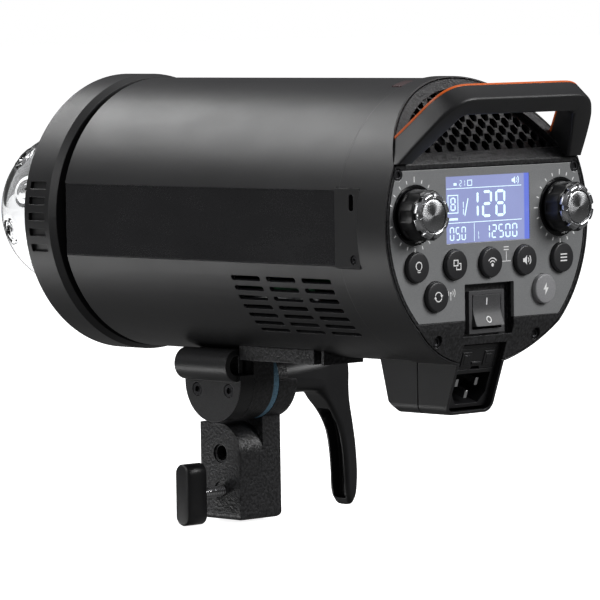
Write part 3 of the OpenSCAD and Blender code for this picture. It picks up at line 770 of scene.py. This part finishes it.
@dataclass
class FrontEnd:
    """Accessory ring, bayonet plate, dish, lamps and the glass dome."""

    radius: float = 43.0
    wall: float = 2.4
    sphere_y: float = -307.9
    skirt_y: float = -250.2
    eye_outer: float = 6.6
    eye_inner: float = 3.7
    ridge: float = 0.75
    rows: tuple[tuple[float, float], ...] = ((72.0, -15.0), (94.0, 15.0))
    eyes_per_row: int = 6
    around: int = 288
    along: int = 84

    def eye_centres(self) -> list[Vector]:
        """Where the moulded rings lie on the dome, from its sphere's centre."""
        centres = []
        for polar, first in self.rows:
            for k in range(self.eyes_per_row):
                angle = math.radians(first + 360 / self.eyes_per_row * k)
                down = math.radians(polar)
                centres.append(Vector((math.sin(down) * math.cos(angle), -math.cos(down),
                                       math.sin(down) * math.sin(angle))) * self.radius)
        return centres

    def relief(self, point: Vector, centres: Sequence[Vector]) -> float:
        """Height of the moulded rings over the dome at a point, in millimetres."""
        away = min((point - centre).length for centre in centres)
        outer = math.exp(-((away - self.eye_outer) / 0.9) ** 2)
        inner = math.exp(-((away - self.eye_inner) / 0.7) ** 2)
        well = 1 / (1 + math.exp((away - 2.3) * 5))
        return self.ridge * (outer + 0.8 * inner) - 1.3 * well - 0.25 * math.exp(-(away / 7) ** 4)

    def dome(self) -> None:
        """Builds the glass dome with its moulded rings."""
        form, centres, rings = Form(LAMP), self.eye_centres(), []
        cap_steps = int(self.along * 0.62)
        stations = [(self.radius * math.sin(math.pi / 2 * k / cap_steps),
                     self.sphere_y - self.radius * math.cos(math.pi / 2 * k / cap_steps))
                    for k in range(cap_steps + 1)]
        rest = self.along - cap_steps
        stations += [(self.radius, self.sphere_y + (self.skirt_y - self.sphere_y) * k / rest)
                     for k in range(1, rest + 1)]
        for r, y in stations:
            points = []
            for i in range(self.around if r > 1e-6 else 1):
                angle = 2 * math.pi * i / self.around
                from_centre = Vector((r * math.cos(angle), y - self.sphere_y, r * math.sin(angle)))
                out = Vector((from_centre.x, min(from_centre.y, 0), from_centre.z)).normalized()
                lifted = from_centre + out * min(self.relief(from_centre, centres), 0.0 if y > -290 else 9)
                points.append((lifted.x, lifted.y + self.sphere_y, lifted.z))
            rings.append(form.ring(points))
        inside = self.radius - self.wall
        inner = [(inside, self.skirt_y), (inside, self.sphere_y)]
        inner += [(inside * math.cos(math.radians(a)), self.sphere_y - inside * math.sin(math.radians(a)))
                  for a in range(5, 91, 5)]
        for r, y in inner:
            count = self.around if r > 1e-3 else 1
            rings.append(form.ring(
                (r * math.cos(2 * math.pi * i / self.around), y, r * math.sin(2 * math.pi * i / self.around))
                for i in range(count)))
        form.skin(rings)
        form.piece("dome_glass", Paintbox.clear, "dome", ["glass_dome"], "clear_glass", smooth=60)

    def filament(self) -> None:
        """Winds the modelling lamp's filament between its two posts."""
        form = Form(LAMP)
        turns, coil, wire, y = 9, 1.3, 0.28, -268.0
        path = [(-4.5 + 9 * t / 96, y + coil * math.cos(2 * math.pi * turns * t / 96),
                 coil * math.sin(2 * math.pi * turns * t / 96)) for t in range(97)]
        rings = [form.ring((x, yy + wire * math.cos(a), z + wire * math.sin(a))
                           for a in (2 * math.pi * k / 8 for k in range(8))) for x, yy, z in path]
        form.skin(rings)
        form.ends(rings[0], rings[-1])
        for x in (-4.5, 4.5):
            form.lathe([(0, y - 1.5), (0.45, y - 1.2), (0.45, y + 12), (0, y + 12)], (x, 0, 0), steps=12)
        form.piece("filament", Paintbox.steel, "lamp")

    def build(self) -> None:
        """Dresses the nodes and builds the glass."""
        PAINT.dress(Paintbox.black, "front_ring")
        PAINT.dress(Paintbox.aluminium, "bayonet_plate")
        PAINT.dress(Paintbox.red, "release_slider")
        PAINT.dress(Paintbox.mirror, "reflector_dish")
        PAINT.dress(Paintbox.ceramic, "tube_socket")
        PAINT.dress(Paintbox.frosted, "flash_tube")
        PAINT.dress(Paintbox.lamp, "modelling_lamp")
        PAINT.dress(Paintbox.steel, "dome_clips")
        self.dome()
        self.filament()


class Icon(Enum):
    """What is printed on a button."""

    BULB = "lamp"
    GROUP = "group"
    SENSOR = "slave"
    SPEAKER = "sound"
    BARS = "menu"
    CYCLE = "mode"
    BOLT = "test"

    def draw(self, ink: Print) -> Print:
        """Draws the icon round the middle of its button, about 6 mm high."""
        line = 0.55
        if self is Icon.BULB:
            ink.bow(0, 0.7, 2.0, line, -60, 240)
            return ink.bar(-0.95, 0.95, -1.7, -1.2).bar(-0.95, 0.95, -2.6, -2.1)
        if self is Icon.GROUP:
            ink.frame_of(-2.7, 0.7, -0.6, 2.6, line)
            return ink.bar(1.1, 2.7, -2.6, -2.05).bar(2.15, 2.7, -2.05, 0.9).bar(-0.9, 1.1, -2.6, -2.05).bar(
                -0.9, -0.35, -2.05, -1.0).bar(1.1, 2.15, 0.35, 0.9)
        if self is Icon.SENSOR:
            ink.bow(0, -1.2, 0.5, 0.8, 0, 360)
            return ink.bow(0, -1.2, 2.0, line, 35, 145).bow(0, -1.2, 3.4, line, 35, 145)
        if self is Icon.SPEAKER:
            ink.patch([(-2.9, -0.9), (-1.7, -0.9), (-0.1, -2.4), (-0.1, 2.4), (-1.7, 0.9), (-2.9, 0.9)])
            return ink.bow(-0.3, 0, 1.6, line, -45, 45).bow(-0.3, 0, 3.0, line, -45, 45)
        if self is Icon.BARS:
            return ink.bar(-2.4, 2.4, 1.3, 1.95).bar(-2.4, 2.4, -0.32, 0.32).bar(-2.4, 2.4, -1.95, -1.3)
        if self is Icon.CYCLE:
            ink.bow(0, 0, 2.3, line, 20, 160).bow(0, 0, 2.3, line, 200, 340)
            ink.patch([(1.2, 0.9), (3.2, 0.9), (2.2, -0.5)])
            return ink.patch([(-1.2, -0.9), (-3.2, -0.9), (-2.2, 0.5)])
        return ink.patch([(0.5, 3.2), (-1.9, -0.4), (-0.4, -0.4), (-0.7, -3.2), (1.9, 0.6), (0.3, 0.6)])


@dataclass
class ControlPanel:
    """Knobs, buttons, display, rocker and everything printed on the plate."""

    knob_radius: float = 12.8
    flutes: int = 8
    flute_depth: float = 1.0
    flute_half: float = 3.0
    tick_radius: float = 16.1
    plate_edge: float = 70.6
    button_radius: float = 7.5
    button_front: float = 2.5
    display: Place = field(init=False)
    display_size: Point2 = (59.4, 33.0)

    def __post_init__(self) -> None:
        """Puts the display's place at its top left corner as a reader sees it."""
        low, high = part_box("display_window")
        self.display = Place(Vector((high.x, high.y, high.z)))

    def fluted(self, angle: float, radius: float, along: float) -> float:
        """Radius of the knob's grip, which has hollows between its ribs."""
        pitch = 2 * math.pi / self.flutes
        aside = abs((angle + pitch / 2) % pitch - pitch / 2) * self.knob_radius
        if radius < self.knob_radius - 1.6 or along < 2.3 or aside > self.flute_half:
            return radius
        return radius - self.flute_depth * math.cos(math.pi / 2 * aside / self.flute_half) ** 0.7

    def crowned(self, angle: float, radius: float, along: float) -> float:
        """Radius of the crown, which is notched over each hollow of the grip."""
        pitch = 2 * math.pi / self.flutes
        aside = abs((angle + pitch / 2) % pitch - pitch / 2) * self.knob_radius
        if radius < 9.6 or aside > 1.9:
            return radius
        return radius - 1.35 * min(1.0, (1.9 - aside) / 0.5)

    def knob(self, side: str) -> None:
        """Builds one knob: grip, crown and spun disc."""
        spot = middle_of(f"knob_{side}")
        centre, body = (spot.x, 0, spot.z), f"{side}_knob"
        r = self.knob_radius
        grip = [(0, -9.5), (2.9, -9.5), (2.9, 0.6), (r - 0.5, 0.6), (r, 1.1), (r, 2.2), (r, 2.5), (r, 9.7),
                (r - 0.25, 10.15), (r - 0.8, 10.4), (0, 10.4)]
        Form(LAMP).lathe(grip, centre, steps=288, shape=self.fluted).piece(
            f"grip_{side}", Paintbox.soft, body, [f"knob_{side}"], "rubber", smooth=40)
        crown = [(0, 10.42), (11.2, 10.42), (11.5, 10.7), (11.5, 12.2), (11.3, 12.5), (10.5, 13.6),
                 (10.2, 13.78), (8.75, 13.78), (8.5, 13.6), (8.4, 13.0), (0, 13.0)]
        Form(LAMP).lathe(crown, centre, steps=288, shape=self.crowned).piece(
            f"crown_{side}", Paintbox.crown, body, [f"knob_cap_{side}"], "chrome", smooth=40)
        disc = [(0, 13.02), (7.9, 13.02), (7.9, 13.2), (7.6, 13.34), (0, 13.34)]
        spun = Form(LAMP).lathe(disc, centre).piece(f"disc_{side}", Paintbox.spun, body, slot="chrome")
        lay_on_side(spun, LAMP.at(*centre))
        groove = [(7.95, 13.01), (8.35, 13.01), (8.35, 13.08), (7.95, 13.08), (7.95, 13.01)]
        Form(LAMP).lathe(groove, centre).piece(f"disc_gap_{side}", Paintbox.gloss, body, slot="chrome")

    def ticks(self) -> None:
        """Prints the scale round both knobs."""
        ink = Print(LAMP)
        for side in ("left", "right"):
            spot = middle_of(f"knob_{side}")
            for k in range(20):
                angle = math.radians(18 * k)
                long = 1.1 if k % 5 == 0 else 0.0
                if abs(spot.x) + math.cos(angle) * (self.tick_radius + 3) > self.plate_edge:
                    continue  # this mark would fall off the plate
                c, s = math.cos(angle), math.sin(angle)
                side_sign = -1 if spot.x > 0 else 1
                near, far = self.tick_radius, self.tick_radius + 1.7 + long
                ink.stroke((-spot.x + side_sign * c * near, spot.z + s * near),
                           (-spot.x + side_sign * c * far, spot.z + s * far), 0.6)
        ink.piece("scale_marks", Paintbox.glowing_print_white, "lamp", slot="pale_button")

    def plate_marks(self) -> None:
        """Prints the bracket line and the aerial sign between the buttons."""
        ink = Print(LAMP)
        low, high = -20.05, -15.2
        ink.stroke((9.4, low), (15.6, low), 0.4)
        ink.stroke((12.5, low), (12.5, high), 0.4)
        ink.bar(10.7, 14.3, high + 0.6, high + 1.15).bar(10.7, 14.3, high + 2.0, high + 2.5)
        ax, az = -27.4, -35.2
        ink.stroke((ax, az - 2.4), (ax, az + 1.2), 0.5)
        for radius in (1.7, 3.0):
            ink.bow(ax, az + 1.2, radius, 0.45, -40, 40).bow(ax, az + 1.2, radius, 0.45, 140, 220)
        ink.bow(ax, az + 1.2, 0.3, 0.6, 0, 360)
        ink.piece("plate_marks", Paintbox.glowing_print_white, "lamp", slot="pale_button")

    def button(self, icon: Icon) -> None:
        """Builds one push button with its face and icon."""
        node, body = f"button_{icon.value}", f"{icon.value}_button"
        spot = middle_of(node)
        centre, r, front = (spot.x, 0, spot.z), self.button_radius, self.button_front
        pale = icon is Icon.BOLT
        rim = arc(r - 0.9, front - 0.9, 0.9, 0, 90, 5)
        profile = [(0, -6.4), (r + 1, -6.4), (r + 1, -5.3), (r, -5.3), *rim, (0, front)]
        Form(LAMP).lathe(profile, centre).piece(
            f"push_{icon.value}", Paintbox.pale if pale else Paintbox.button, body, [node],
            "pale_button" if pale else "housing", smooth=40)
        ink = Print(LAMP.moved(spot.x, front - 0.02, spot.z))
        icon.draw(ink).piece(f"icon_{icon.value}", Paintbox.glowing_print_white, body, slot="pale_button")

    def screen(self) -> None:
        """Lights the display and sets its segments."""
        low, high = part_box("display_window")
        lit = LitScreen("backlit_screen", (0.36, 0.41, 0.74), (0.16, 0.23, 0.86), low.x, 0.0042)
        PAINT.dress(lit, "display_window")
        PAINT.dress(Paintbox.socket, "display_module")
        ink = Print(self.display, 0.0, 0.06)
        right = self.display_size[0] - 5.5
        ink.bar(0.5, right, -6.1, -5.75).bar(0.5, right, -23.1, -22.75).bar(19.6, 19.9, -32.4, -23.4)
        ink.number("1", 10.2, -19.2, 2.2, 6.8).stroke((13.2, -19.6), (15.6, -11.0), 0.7)
        ink.number("128", 15.9, -20.9, 7.2, 13.4)
        ink.frame_of(1.2, 8.6, -18.2, -9.0, 0.45).digit("8", 3.1, -16.9, 3.6, 6.6)
        ink.number("050", 2.4, -31.6, 3.1, 6.7)
        ink.number("12500", 27.2, -31.6, 3.7, 6.9).number("1", 21.3, -31.6, 1.6, 4.0)
        ink.bar(1.2, 8.2, -21.6, -20.5).bar(5.5, 7.6, -4.4, -3.2)
        ink.number("21", 9.6, -4.9, 1.7, 3.0).frame_of(15.2, 18.6, -4.9, -1.9, 0.4)
        ink.patch([(47.0, -4.0), (48.0, -4.0), (49.4, -5.1), (49.4, -1.4), (48.0, -2.5), (47.0, -2.5)])
        ink.bow(49.4, -3.2, 1.5, 0.4, -45, 45).bow(49.4, -3.2, 2.6, 0.4, -45, 45)
        ink.piece("lit_segments", Paintbox.segment, "lamp", slot="display")

    def rocker(self) -> None:
        """Builds the mains rocker with its on and off marks."""
        spot = LAMP.moved(0, -5, -44.6, -9)
        top, dip, half, depth = 4.75, 3.2, 7.9, -5.0
        face = [(math.sin(math.pi * k / 16 - math.pi / 2) * half,
                 dip + (top - dip) * abs(math.sin(math.pi * k / 16 - math.pi / 2)) ** 1.6) for k in range(17)]
        outline = [(y, z) for z, y in face] + [(0, 7.6), (depth, 3), (depth, -3), (0, -7.6)]
        Form(spot).prism(outline, -9.9, 9.9, Axis.X).piece(
            "rocker_paddle", Paintbox.grey, "switch", ["rocker"], "grey_plastic", bevel=0.5, smooth=40)
        on = Print(spot.moved(0, dip + 0.62, 4.6, 14), 0.0, 0.12)
        on.bar(-0.35, 0.35, -1.7, 1.7).piece("mark_on", Paintbox.glowing_print_white, "switch", slot="pale_button")
        off = Print(spot.moved(0, dip + 0.62, -4.6, -14), 0.0, 0.12)
        off.bow(0, 0, 1.5, 0.6, 0, 360).piece("mark_off", Paintbox.glowing_print_white, "switch", slot="pale_button")

    def build(self) -> None:
        """Builds the whole panel."""
        PAINT.dress(Paintbox.gloss, "knob_rings")
        PAINT.dress(Paintbox.steel, "encoders")
        PAINT.dress(Paintbox.board, "control_board")
        PAINT.dress(Paintbox.grey, "rocker_bezel")
        for side in ("left", "right"):
            self.knob(side)
        self.ticks()
        self.plate_marks()
        for icon in Icon:
            self.button(icon)
        self.screen()
        self.rocker()


@dataclass
class PowerInlet:
    """Mains inlet and fuse drawer on the slanted lower face."""

    centre_y: float = -9.36
    centre_z: float = -78.0
    lean: float = 19.8

    def drawer(self) -> None:
        """Builds the fuse drawer with its moulded panels and finger notch."""
        place = LAMP.moved(0, self.centre_y, self.centre_z, self.lean)
        form = Form(place)
        form.prism([(-12.5, 3.5), (-3.2, 3.5), (-2.6, 4.9), (2.6, 4.9), (3.2, 3.5), (12.5, 3.5),
                    (12.5, 14.5), (-12.5, 14.5)], -19.4, -3.1)
        for left, right in ((-11.2, -4.6), (4.6, 11.2)):
            form.prism([(left, 5.2), (right, 5.2), (right, 12.8), (left, 12.8)], -3.2, -2.65)
            form.prism([(left + 1.4, 6.6), (right - 1.4, 6.6), (right - 1.4, 11.4), (left + 1.4, 11.4)],
                       -2.7, -2.45)
        form.prism([(-3.4, 6.2), (3.4, 6.2), (3.4, 7.4), (-3.4, 7.4)], -3.2, -2.5)
        form.piece("drawer_front", Paintbox.socket, "drawer", ["fuse_drawer"], "housing", bevel=0.25)

    def build(self) -> None:
        """Dresses the inlet and builds the drawer."""
        PAINT.dress(Paintbox.socket, "inlet_body")
        PAINT.dress(Paintbox.steel, "inlet_pins")
        PAINT.dress(Paintbox.fuse, "fuse")
        self.drawer()


@dataclass
class CarryHandle:
    """The leaning handle, whose flanks close in toward its front, and the orange layer there."""

    lean: float = 40.0
    foot_y: float = 2.6
    foot_z: float = 30.6
    trim: float = 1.3
    # ridge across and up, inner edge across and up, front edge across and up, thickness
    stations: tuple[tuple[float, ...], ...] = (
        (67.6, -3.5, 57.4, -3.5, 58.3, -3.5, 17.3), (65.9, 0.6, 55.4, 0.4, 57.6, 0.6, 16.3),
        (62.4, 10.4, 50.2, 10.3, 55.8, 10.4, 14.6), (58.7, 19.8, 45.1, 19.8, 54.2, 19.8, 13.0),
        (55.3, 27.2, 41.4, 26.3, 53.0, 27.2, 11.8), (52.4, 31.8, 40.7, 28.0, 51.6, 31.7, 11.1),
        (48.9, 36.2, 39.6, 29.4, 48.7, 36.0, 10.8), (44.4, 39.3, 37.8, 30.2, 44.3, 39.1, 10.7),
        (38.0, 40.9, 34.5, 30.3, 38.0, 40.8, 10.6), (28.0, 41.1, 28.0, 30.3, 28.0, 41.0, 10.6),
        (12.0, 41.1, 12.0, 30.3, 12.0, 41.0, 10.6))
    face_slope: float = 0.589
    bend_z: float = 30.2

    def section(self, station: Sequence[float], front: float, back: float, radii: Colour) -> list[Colour]:
        """The bar's section at one station.

        Args:
            station: its edges, as in stations.
            front: how far it reaches past the bar's front.
            back: where it starts, behind the bar's front; 0 for the whole bar.
            radii: how much its ridge, inner and front edges are rounded.

        Returns:
            Its points, from the ridge round to the flank.
        """
        ox, oz, ix, iz, fx, fz, thick = station
        start = 0.0 if not back else back - thick
        share = -start / thick
        corners = [(ox + (fx - ox) * share, start, oz + (fz - oz) * share, radii[0]),
                   (ix, start, iz, radii[1]), (ix, -thick - front, iz, radii[2]),
                   (fx, -thick - front, fz, radii[2])]
        points = []
        for k, (x, y, z, radius) in enumerate(corners):
            here = Vector((x, y, z))
            before, after = (Vector(corners[j % 4][:3]) - here for j in (k - 1, k + 1))
            low = here + before.normalized() * min(radius, before.length * 0.45)
            high = here + after.normalized() * min(radius, after.length * 0.45)
            for t in (0.0, 0.2, 0.4, 0.6, 0.8, 1.0):
                points.append(tuple(low * (1 - t) ** 2 + here * (2 * t * (1 - t)) + high * t * t))
        return points

    def bar(self, front: float, back: float, radii: Colour) -> Form:
        """Draws the section along the handle and cuts it off where it meets the rear face."""
        form = Form(LAMP.moved(0, self.foot_y, self.foot_z, self.lean))
        half = smooth_line(self.stations, 5)
        sections = [self.section(station, front, back, radii) for station in half]
        mirrored = [[(-x, y, z) for x, y, z in section] for section in reversed(sections)]
        rings = [form.ring(section) for section in sections + mirrored]
        form.skin(rings)
        form.ends(rings[0], rings[-1])
        inner, form.place = form.place, Place(LAMP.at(0, -0.4, self.bend_z))
        form.cut((0, 0, 0), (0, -1, -self.face_slope)).cut((0, 0, 0.75), (0, 0, -1))
        form.place = inner
        return form

    def build(self) -> None:
        """Builds the bar and its orange layer."""
        self.bar(0.0, 0.0, (1.9, 1.7, 0.5)).piece(
            "handle_bar", Paintbox.black, "lamp", ["handle"], "housing", smooth=40)
        self.bar(self.trim, 0.05, (0.3, 0.3, 0.35)).piece(
            "handle_layer", Paintbox.orange, "lamp", ["handle_trim"], "orange", smooth=40)


@dataclass
class StandBracket:
    """Tilt head, umbrella clamp, washer, stand block, lever and clamp knob."""

    tilt: Place = field(init=False)
    hub_radius: float = 0.0096
    # outer edge across and up, inner edge across and up, half the depth
    lever_line: tuple[tuple[float, ...], ...] = (
        (-15.1, 9.5, -15.1, -9.5, 9.5), (-32.0, 9.5, -32.0, -9.5, 9.5),
        (-50.0, 9.5, -42.5, -9.6, 9.5), (-59.5, 9.1, -45.5, -11.0, 9.3),
        (-64.7, 6.2, -48.3, -13.6, 8.9), (-66.1, 0.4, -51.2, -16.8, 8.4),
        (-66.5, -7.2, -54.5, -20.9, 7.8), (-67.5, -16.0, -57.9, -26.2, 7.4),
        (-69.7, -26.5, -60.7, -32.5, 7.2), (-71.7, -38.4, -62.7, -41.5, 7.2),
        (-72.8, -52.0, -63.8, -53.0, 7.2), (-72.5, -61.0, -64.1, -61.5, 7.2),
        (-71.8, -66.4, -64.7, -66.4, 7.0), (-70.8, -69.6, -66.0, -69.5, 6.2),
        (-69.6, -71.6, -67.2, -71.5, 4.6), (-68.9, -72.2, -68.3, -72.2, 2.0))
    pocket_half: float = 4.3
    pocket_depth: float = 6.0
    knob_z: float = 15.0
    knob_half: Point2 = (5.3, 16.2)
    rod_radius: float = 2.75
    rod_pitch: float = 1.25

    def __post_init__(self) -> None:
        """Finds the tilt axis, which is the middle of the lever's round hub."""
        low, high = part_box("tilt_lever")
        self.tilt = Place(Vector((0, (low.y + high.y) / 2, high.z - self.hub_radius)))

    def lever(self) -> None:
        """Draws the lever from its round hub into the arm with its long pocket."""
        form, rings = Form(self.tilt), []
        line = smooth_line(self.lever_line, 6)
        for i, (ox, oz, ix, iz, half_y) in enumerate(line):
            outer, inner, share = Vector((ox, 0, oz)), Vector((ix, 0, iz)), i / (len(line) - 1)
            middle, inward = (outer + inner) / 2, (inner - outer) / 2
            half = inward.length
            inward.normalize()
            corner = max(2.6, half_y * (1.0 - share * 2.4))
            sunk = min(1.0, max(0.0, (share - 0.38) / 0.1)) * min(1.0, max(0.0, (0.84 - share) / 0.03))
            depth = min(self.pocket_depth, half * 1.15) * sunk
            points = []
            for s, y in soft_box(half, half_y, corner, 18, 6):
                wall = min(1.0, max(0.0, (self.pocket_half - abs(y)) / 0.55))
                dent = depth * wall if s > 0 else 0.0
                points.append(tuple(middle + inward * (s - dent) + Vector((0, y, 0))))
            rings.append(form.ring(points))
        form.skin(rings)
        form.ends(rings[0], rings[-1])
        form.piece("lever_arm", Paintbox.soft, "lever", ["tilt_lever"], "housing", smooth=42)

    def clamp_knob(self) -> None:
        """Builds the oval clamp knob and threads its rod."""
        base = Place(Vector((0, 0, 0)))
        form, (thick, long), centre = Form(base), self.knob_half, (0, 0, self.knob_z)
        layers = [(28.9, 1.5), (29.0, 0.9), (29.3, 0.35), (29.9, 0.0), (41.3, 0.0), (41.9, 0.35), (42.2, 0.9),
                  (42.3, 1.5)]
        rings = [form.ring((x, y, self.knob_z + z) for y, z in soft_box(thick - inset, long - inset, 9))
                 for x, inset in layers]
        form.skin(rings)
        form.ends(rings[0], rings[-1])
        form.piece("clamp_knob_head", Paintbox.soft, "clamp", ["clamp_knob"], "housing", smooth=38)
        start, end, steps = 8.7, 28.9, int((29.0 - 8.6) / self.rod_pitch * 8)
        rod = [(0, 8.4), (2.3, 8.4)]
        rod += [(self.rod_radius, start + (end - start) * k / steps) for k in range(steps + 1)]
        rod += [(2.4, 29.0), (0, 29.0)]

        def thread(angle: float, radius: float, along: float) -> float:
            """Radius of the thread, which climbs one pitch a turn."""
            wave = math.cos(2 * math.pi * along / self.rod_pitch - angle)
            return radius + 0.2 * wave if radius == self.rod_radius else radius

        Form(base).lathe(rod, centre, Axis.X, 32, thread).piece(
            "threaded_rod", Paintbox.steel, "clamp", ["clamp_rod"], "steel", smooth=50)

    def build(self) -> None:
        """Dresses the CAD nodes and builds the moving pieces."""
        PAINT.dress(Paintbox.powder, "stand_block", "base_plate", "tilt_head")
        PAINT.dress(Paintbox.fine_powder, "umbrella_clamp")
        PAINT.dress(Paintbox.steel, "umbrella_jaw", "pivot_bolt")
        PAINT.dress(Paintbox.screw, "clamp_screws")
        PAINT.dress(Paintbox.blue, "friction_washer")
        self.lever()
        self.clamp_knob()


@dataclass
class Inside:
    """What shows through the grille, the side slots and the front opening."""

    def build(self) -> None:
        """Dresses the inner nodes."""
        PAINT.dress(Paintbox.socket, "fan_frame", "fan_rotor")
        PAINT.dress(Paintbox.sleeve, "capacitors")
        PAINT.dress(Paintbox.board, "power_board")
        PAINT.dress(Paintbox.aluminium, "chassis")


@dataclass
class Softbox:
    """One area light and what it points at."""

    name: str
    place: Colour
    size: Point2
    power: float
    target: Colour = (0.0, 0.0, 0.15)

    def build(self) -> None:
        """Hangs the light."""
        data = bpy.data.lights.new(self.name, "AREA")
        data.shape, data.size, data.size_y = "RECTANGLE", *self.size
        data.energy = self.power
        light = bpy.data.objects.new(self.name, data)
        light.location = self.place
        light.rotation_euler = (Vector(self.target) - Vector(self.place)).to_track_quat("-Z", "Y").to_euler()
        bpy.context.scene.collection.objects.link(light)


@dataclass
class Studio:
    """Floor, sky, lights and camera."""

    floor_z: float = -0.0015
    floor_size: float = 40.0
    eye: Colour = (1.68386, 1.80768, 0.27323)
    look_at: Colour = (0.00979, 0.05729, 0.11722)
    roll: float = 0.9226
    lens: float = 282.53
    lights: tuple[Softbox, ...] = (
        Softbox("key", (-1.1, 1.9, 1.35), (1.1, 1.1), 44.0),
        Softbox("overhead", (-0.35, -0.1, 1.5), (0.7, 1.5), 2.5),
        Softbox("side", (1.9, -0.4, 0.95), (0.5, 1.6), 12.0),
        Softbox("front", (0.36, -1.6, 1.65), (1.9, 0.3), 21.0),
        Softbox("below", (0.95, -1.46, -0.62), (1.9, 0.3), 7.5))

    def floor(self) -> None:
        """Lays the floor, which shows but throws no light on the object."""
        half = self.floor_size / 2
        form = Form(Place(Vector((0, 0, self.floor_z))))
        corners = ((-half, -half), (half, -half), (half, half), (-half, half))
        form.ends([form.mesh.verts.new((x, y, self.floor_z)) for x, y in corners])
        data = bpy.data.meshes.new("floor")
        form.mesh.to_mesh(data)
        form.mesh.free()
        g = Graph("pale_floor")
        shade = g.mix(g.noise(0.4, 2.0), (0.93, 0.93, 0.93), (0.96, 0.96, 0.96))
        data.materials.append(g.surface(Base_Color=shade, Roughness=0.9, Emission_Color=(1.0, 1.0, 1.0),
                                        Emission_Strength=0.9))
        plane = bpy.data.objects.new("floor", data)
        plane.visible_diffuse = plane.visible_glossy = plane.visible_shadow = False
        bpy.context.scene.collection.objects.link(plane)

    def sky(self) -> None:
        """Sets a soft sky: pale above, dim below, and plain white where it shows."""
        world = bpy.data.worlds.new("studio")
        bpy.context.scene.world = world
        world.use_nodes = True
        g = Graph.__new__(Graph)
        g.tree = world.node_tree
        g.tree.nodes.clear()
        point = g.add("ShaderNodeTexCoord", output="Generated")
        height = g.add("ShaderNodeSeparateXYZ", None, {0: point}, "Z")
        stops = [(0.0, (0.06, 0.06, 0.06)), (0.22, (0.2, 0.2, 0.2)), (0.34, (0.16, 0.16, 0.16)),
                 (0.47, (0.05, 0.05, 0.05)), (0.6, (0.05, 0.05, 0.05)), (0.82, (0.26, 0.26, 0.27)),
                 (1.0, (0.16, 0.16, 0.16))]
        sheet = g.add("ShaderNodeValToRGB", {"stops": stops}, {0: height * 0.5 + 0.5})
        seen = g.add("ShaderNodeLightPath", output="Is Camera Ray")
        glow = g.add("ShaderNodeBackground", None, {"Color": g.mix(seen, sheet, (1.0, 1.0, 1.0)),
                                                     "Strength": 1.0})
        g.add("ShaderNodeOutputWorld", None, {"Surface": glow})

    def camera(self) -> None:
        """Sets up the camera."""
        data = bpy.data.cameras.new("camera")
        data.lens, data.sensor_width = self.lens, 36.0
        data.clip_start, data.clip_end = 0.05, 100.0
        eye, target = Vector(self.eye), Vector(self.look_at)
        camera = bpy.data.objects.new("camera", data)
        camera.location = eye
        camera.rotation_euler = (target - eye).to_track_quat("-Z", "Y").to_euler()
        camera.rotation_euler.rotate_axis("Z", -math.radians(self.roll))
        bpy.context.scene.collection.objects.link(camera)
        bpy.context.scene.camera = camera

    def build(self) -> None:
        """Builds the studio."""
        self.floor()
        self.sky()
        for light in self.lights:
            light.build()
        self.camera()
        bpy.context.scene.view_settings.view_transform = "Standard"


def main() -> None:
    """Builds every sub-assembly in order."""
    logging.basicConfig(level=logging.INFO, format="%(message)s")
    for part in (Studio(), Housing(), FrontEnd(), ControlPanel(), PowerInlet(), CarryHandle(), StandBracket(),
                 Inside()):
        LOG.info("building %s", type(part).__name__)
        part.build()


if __name__ == "__main__":
    main()
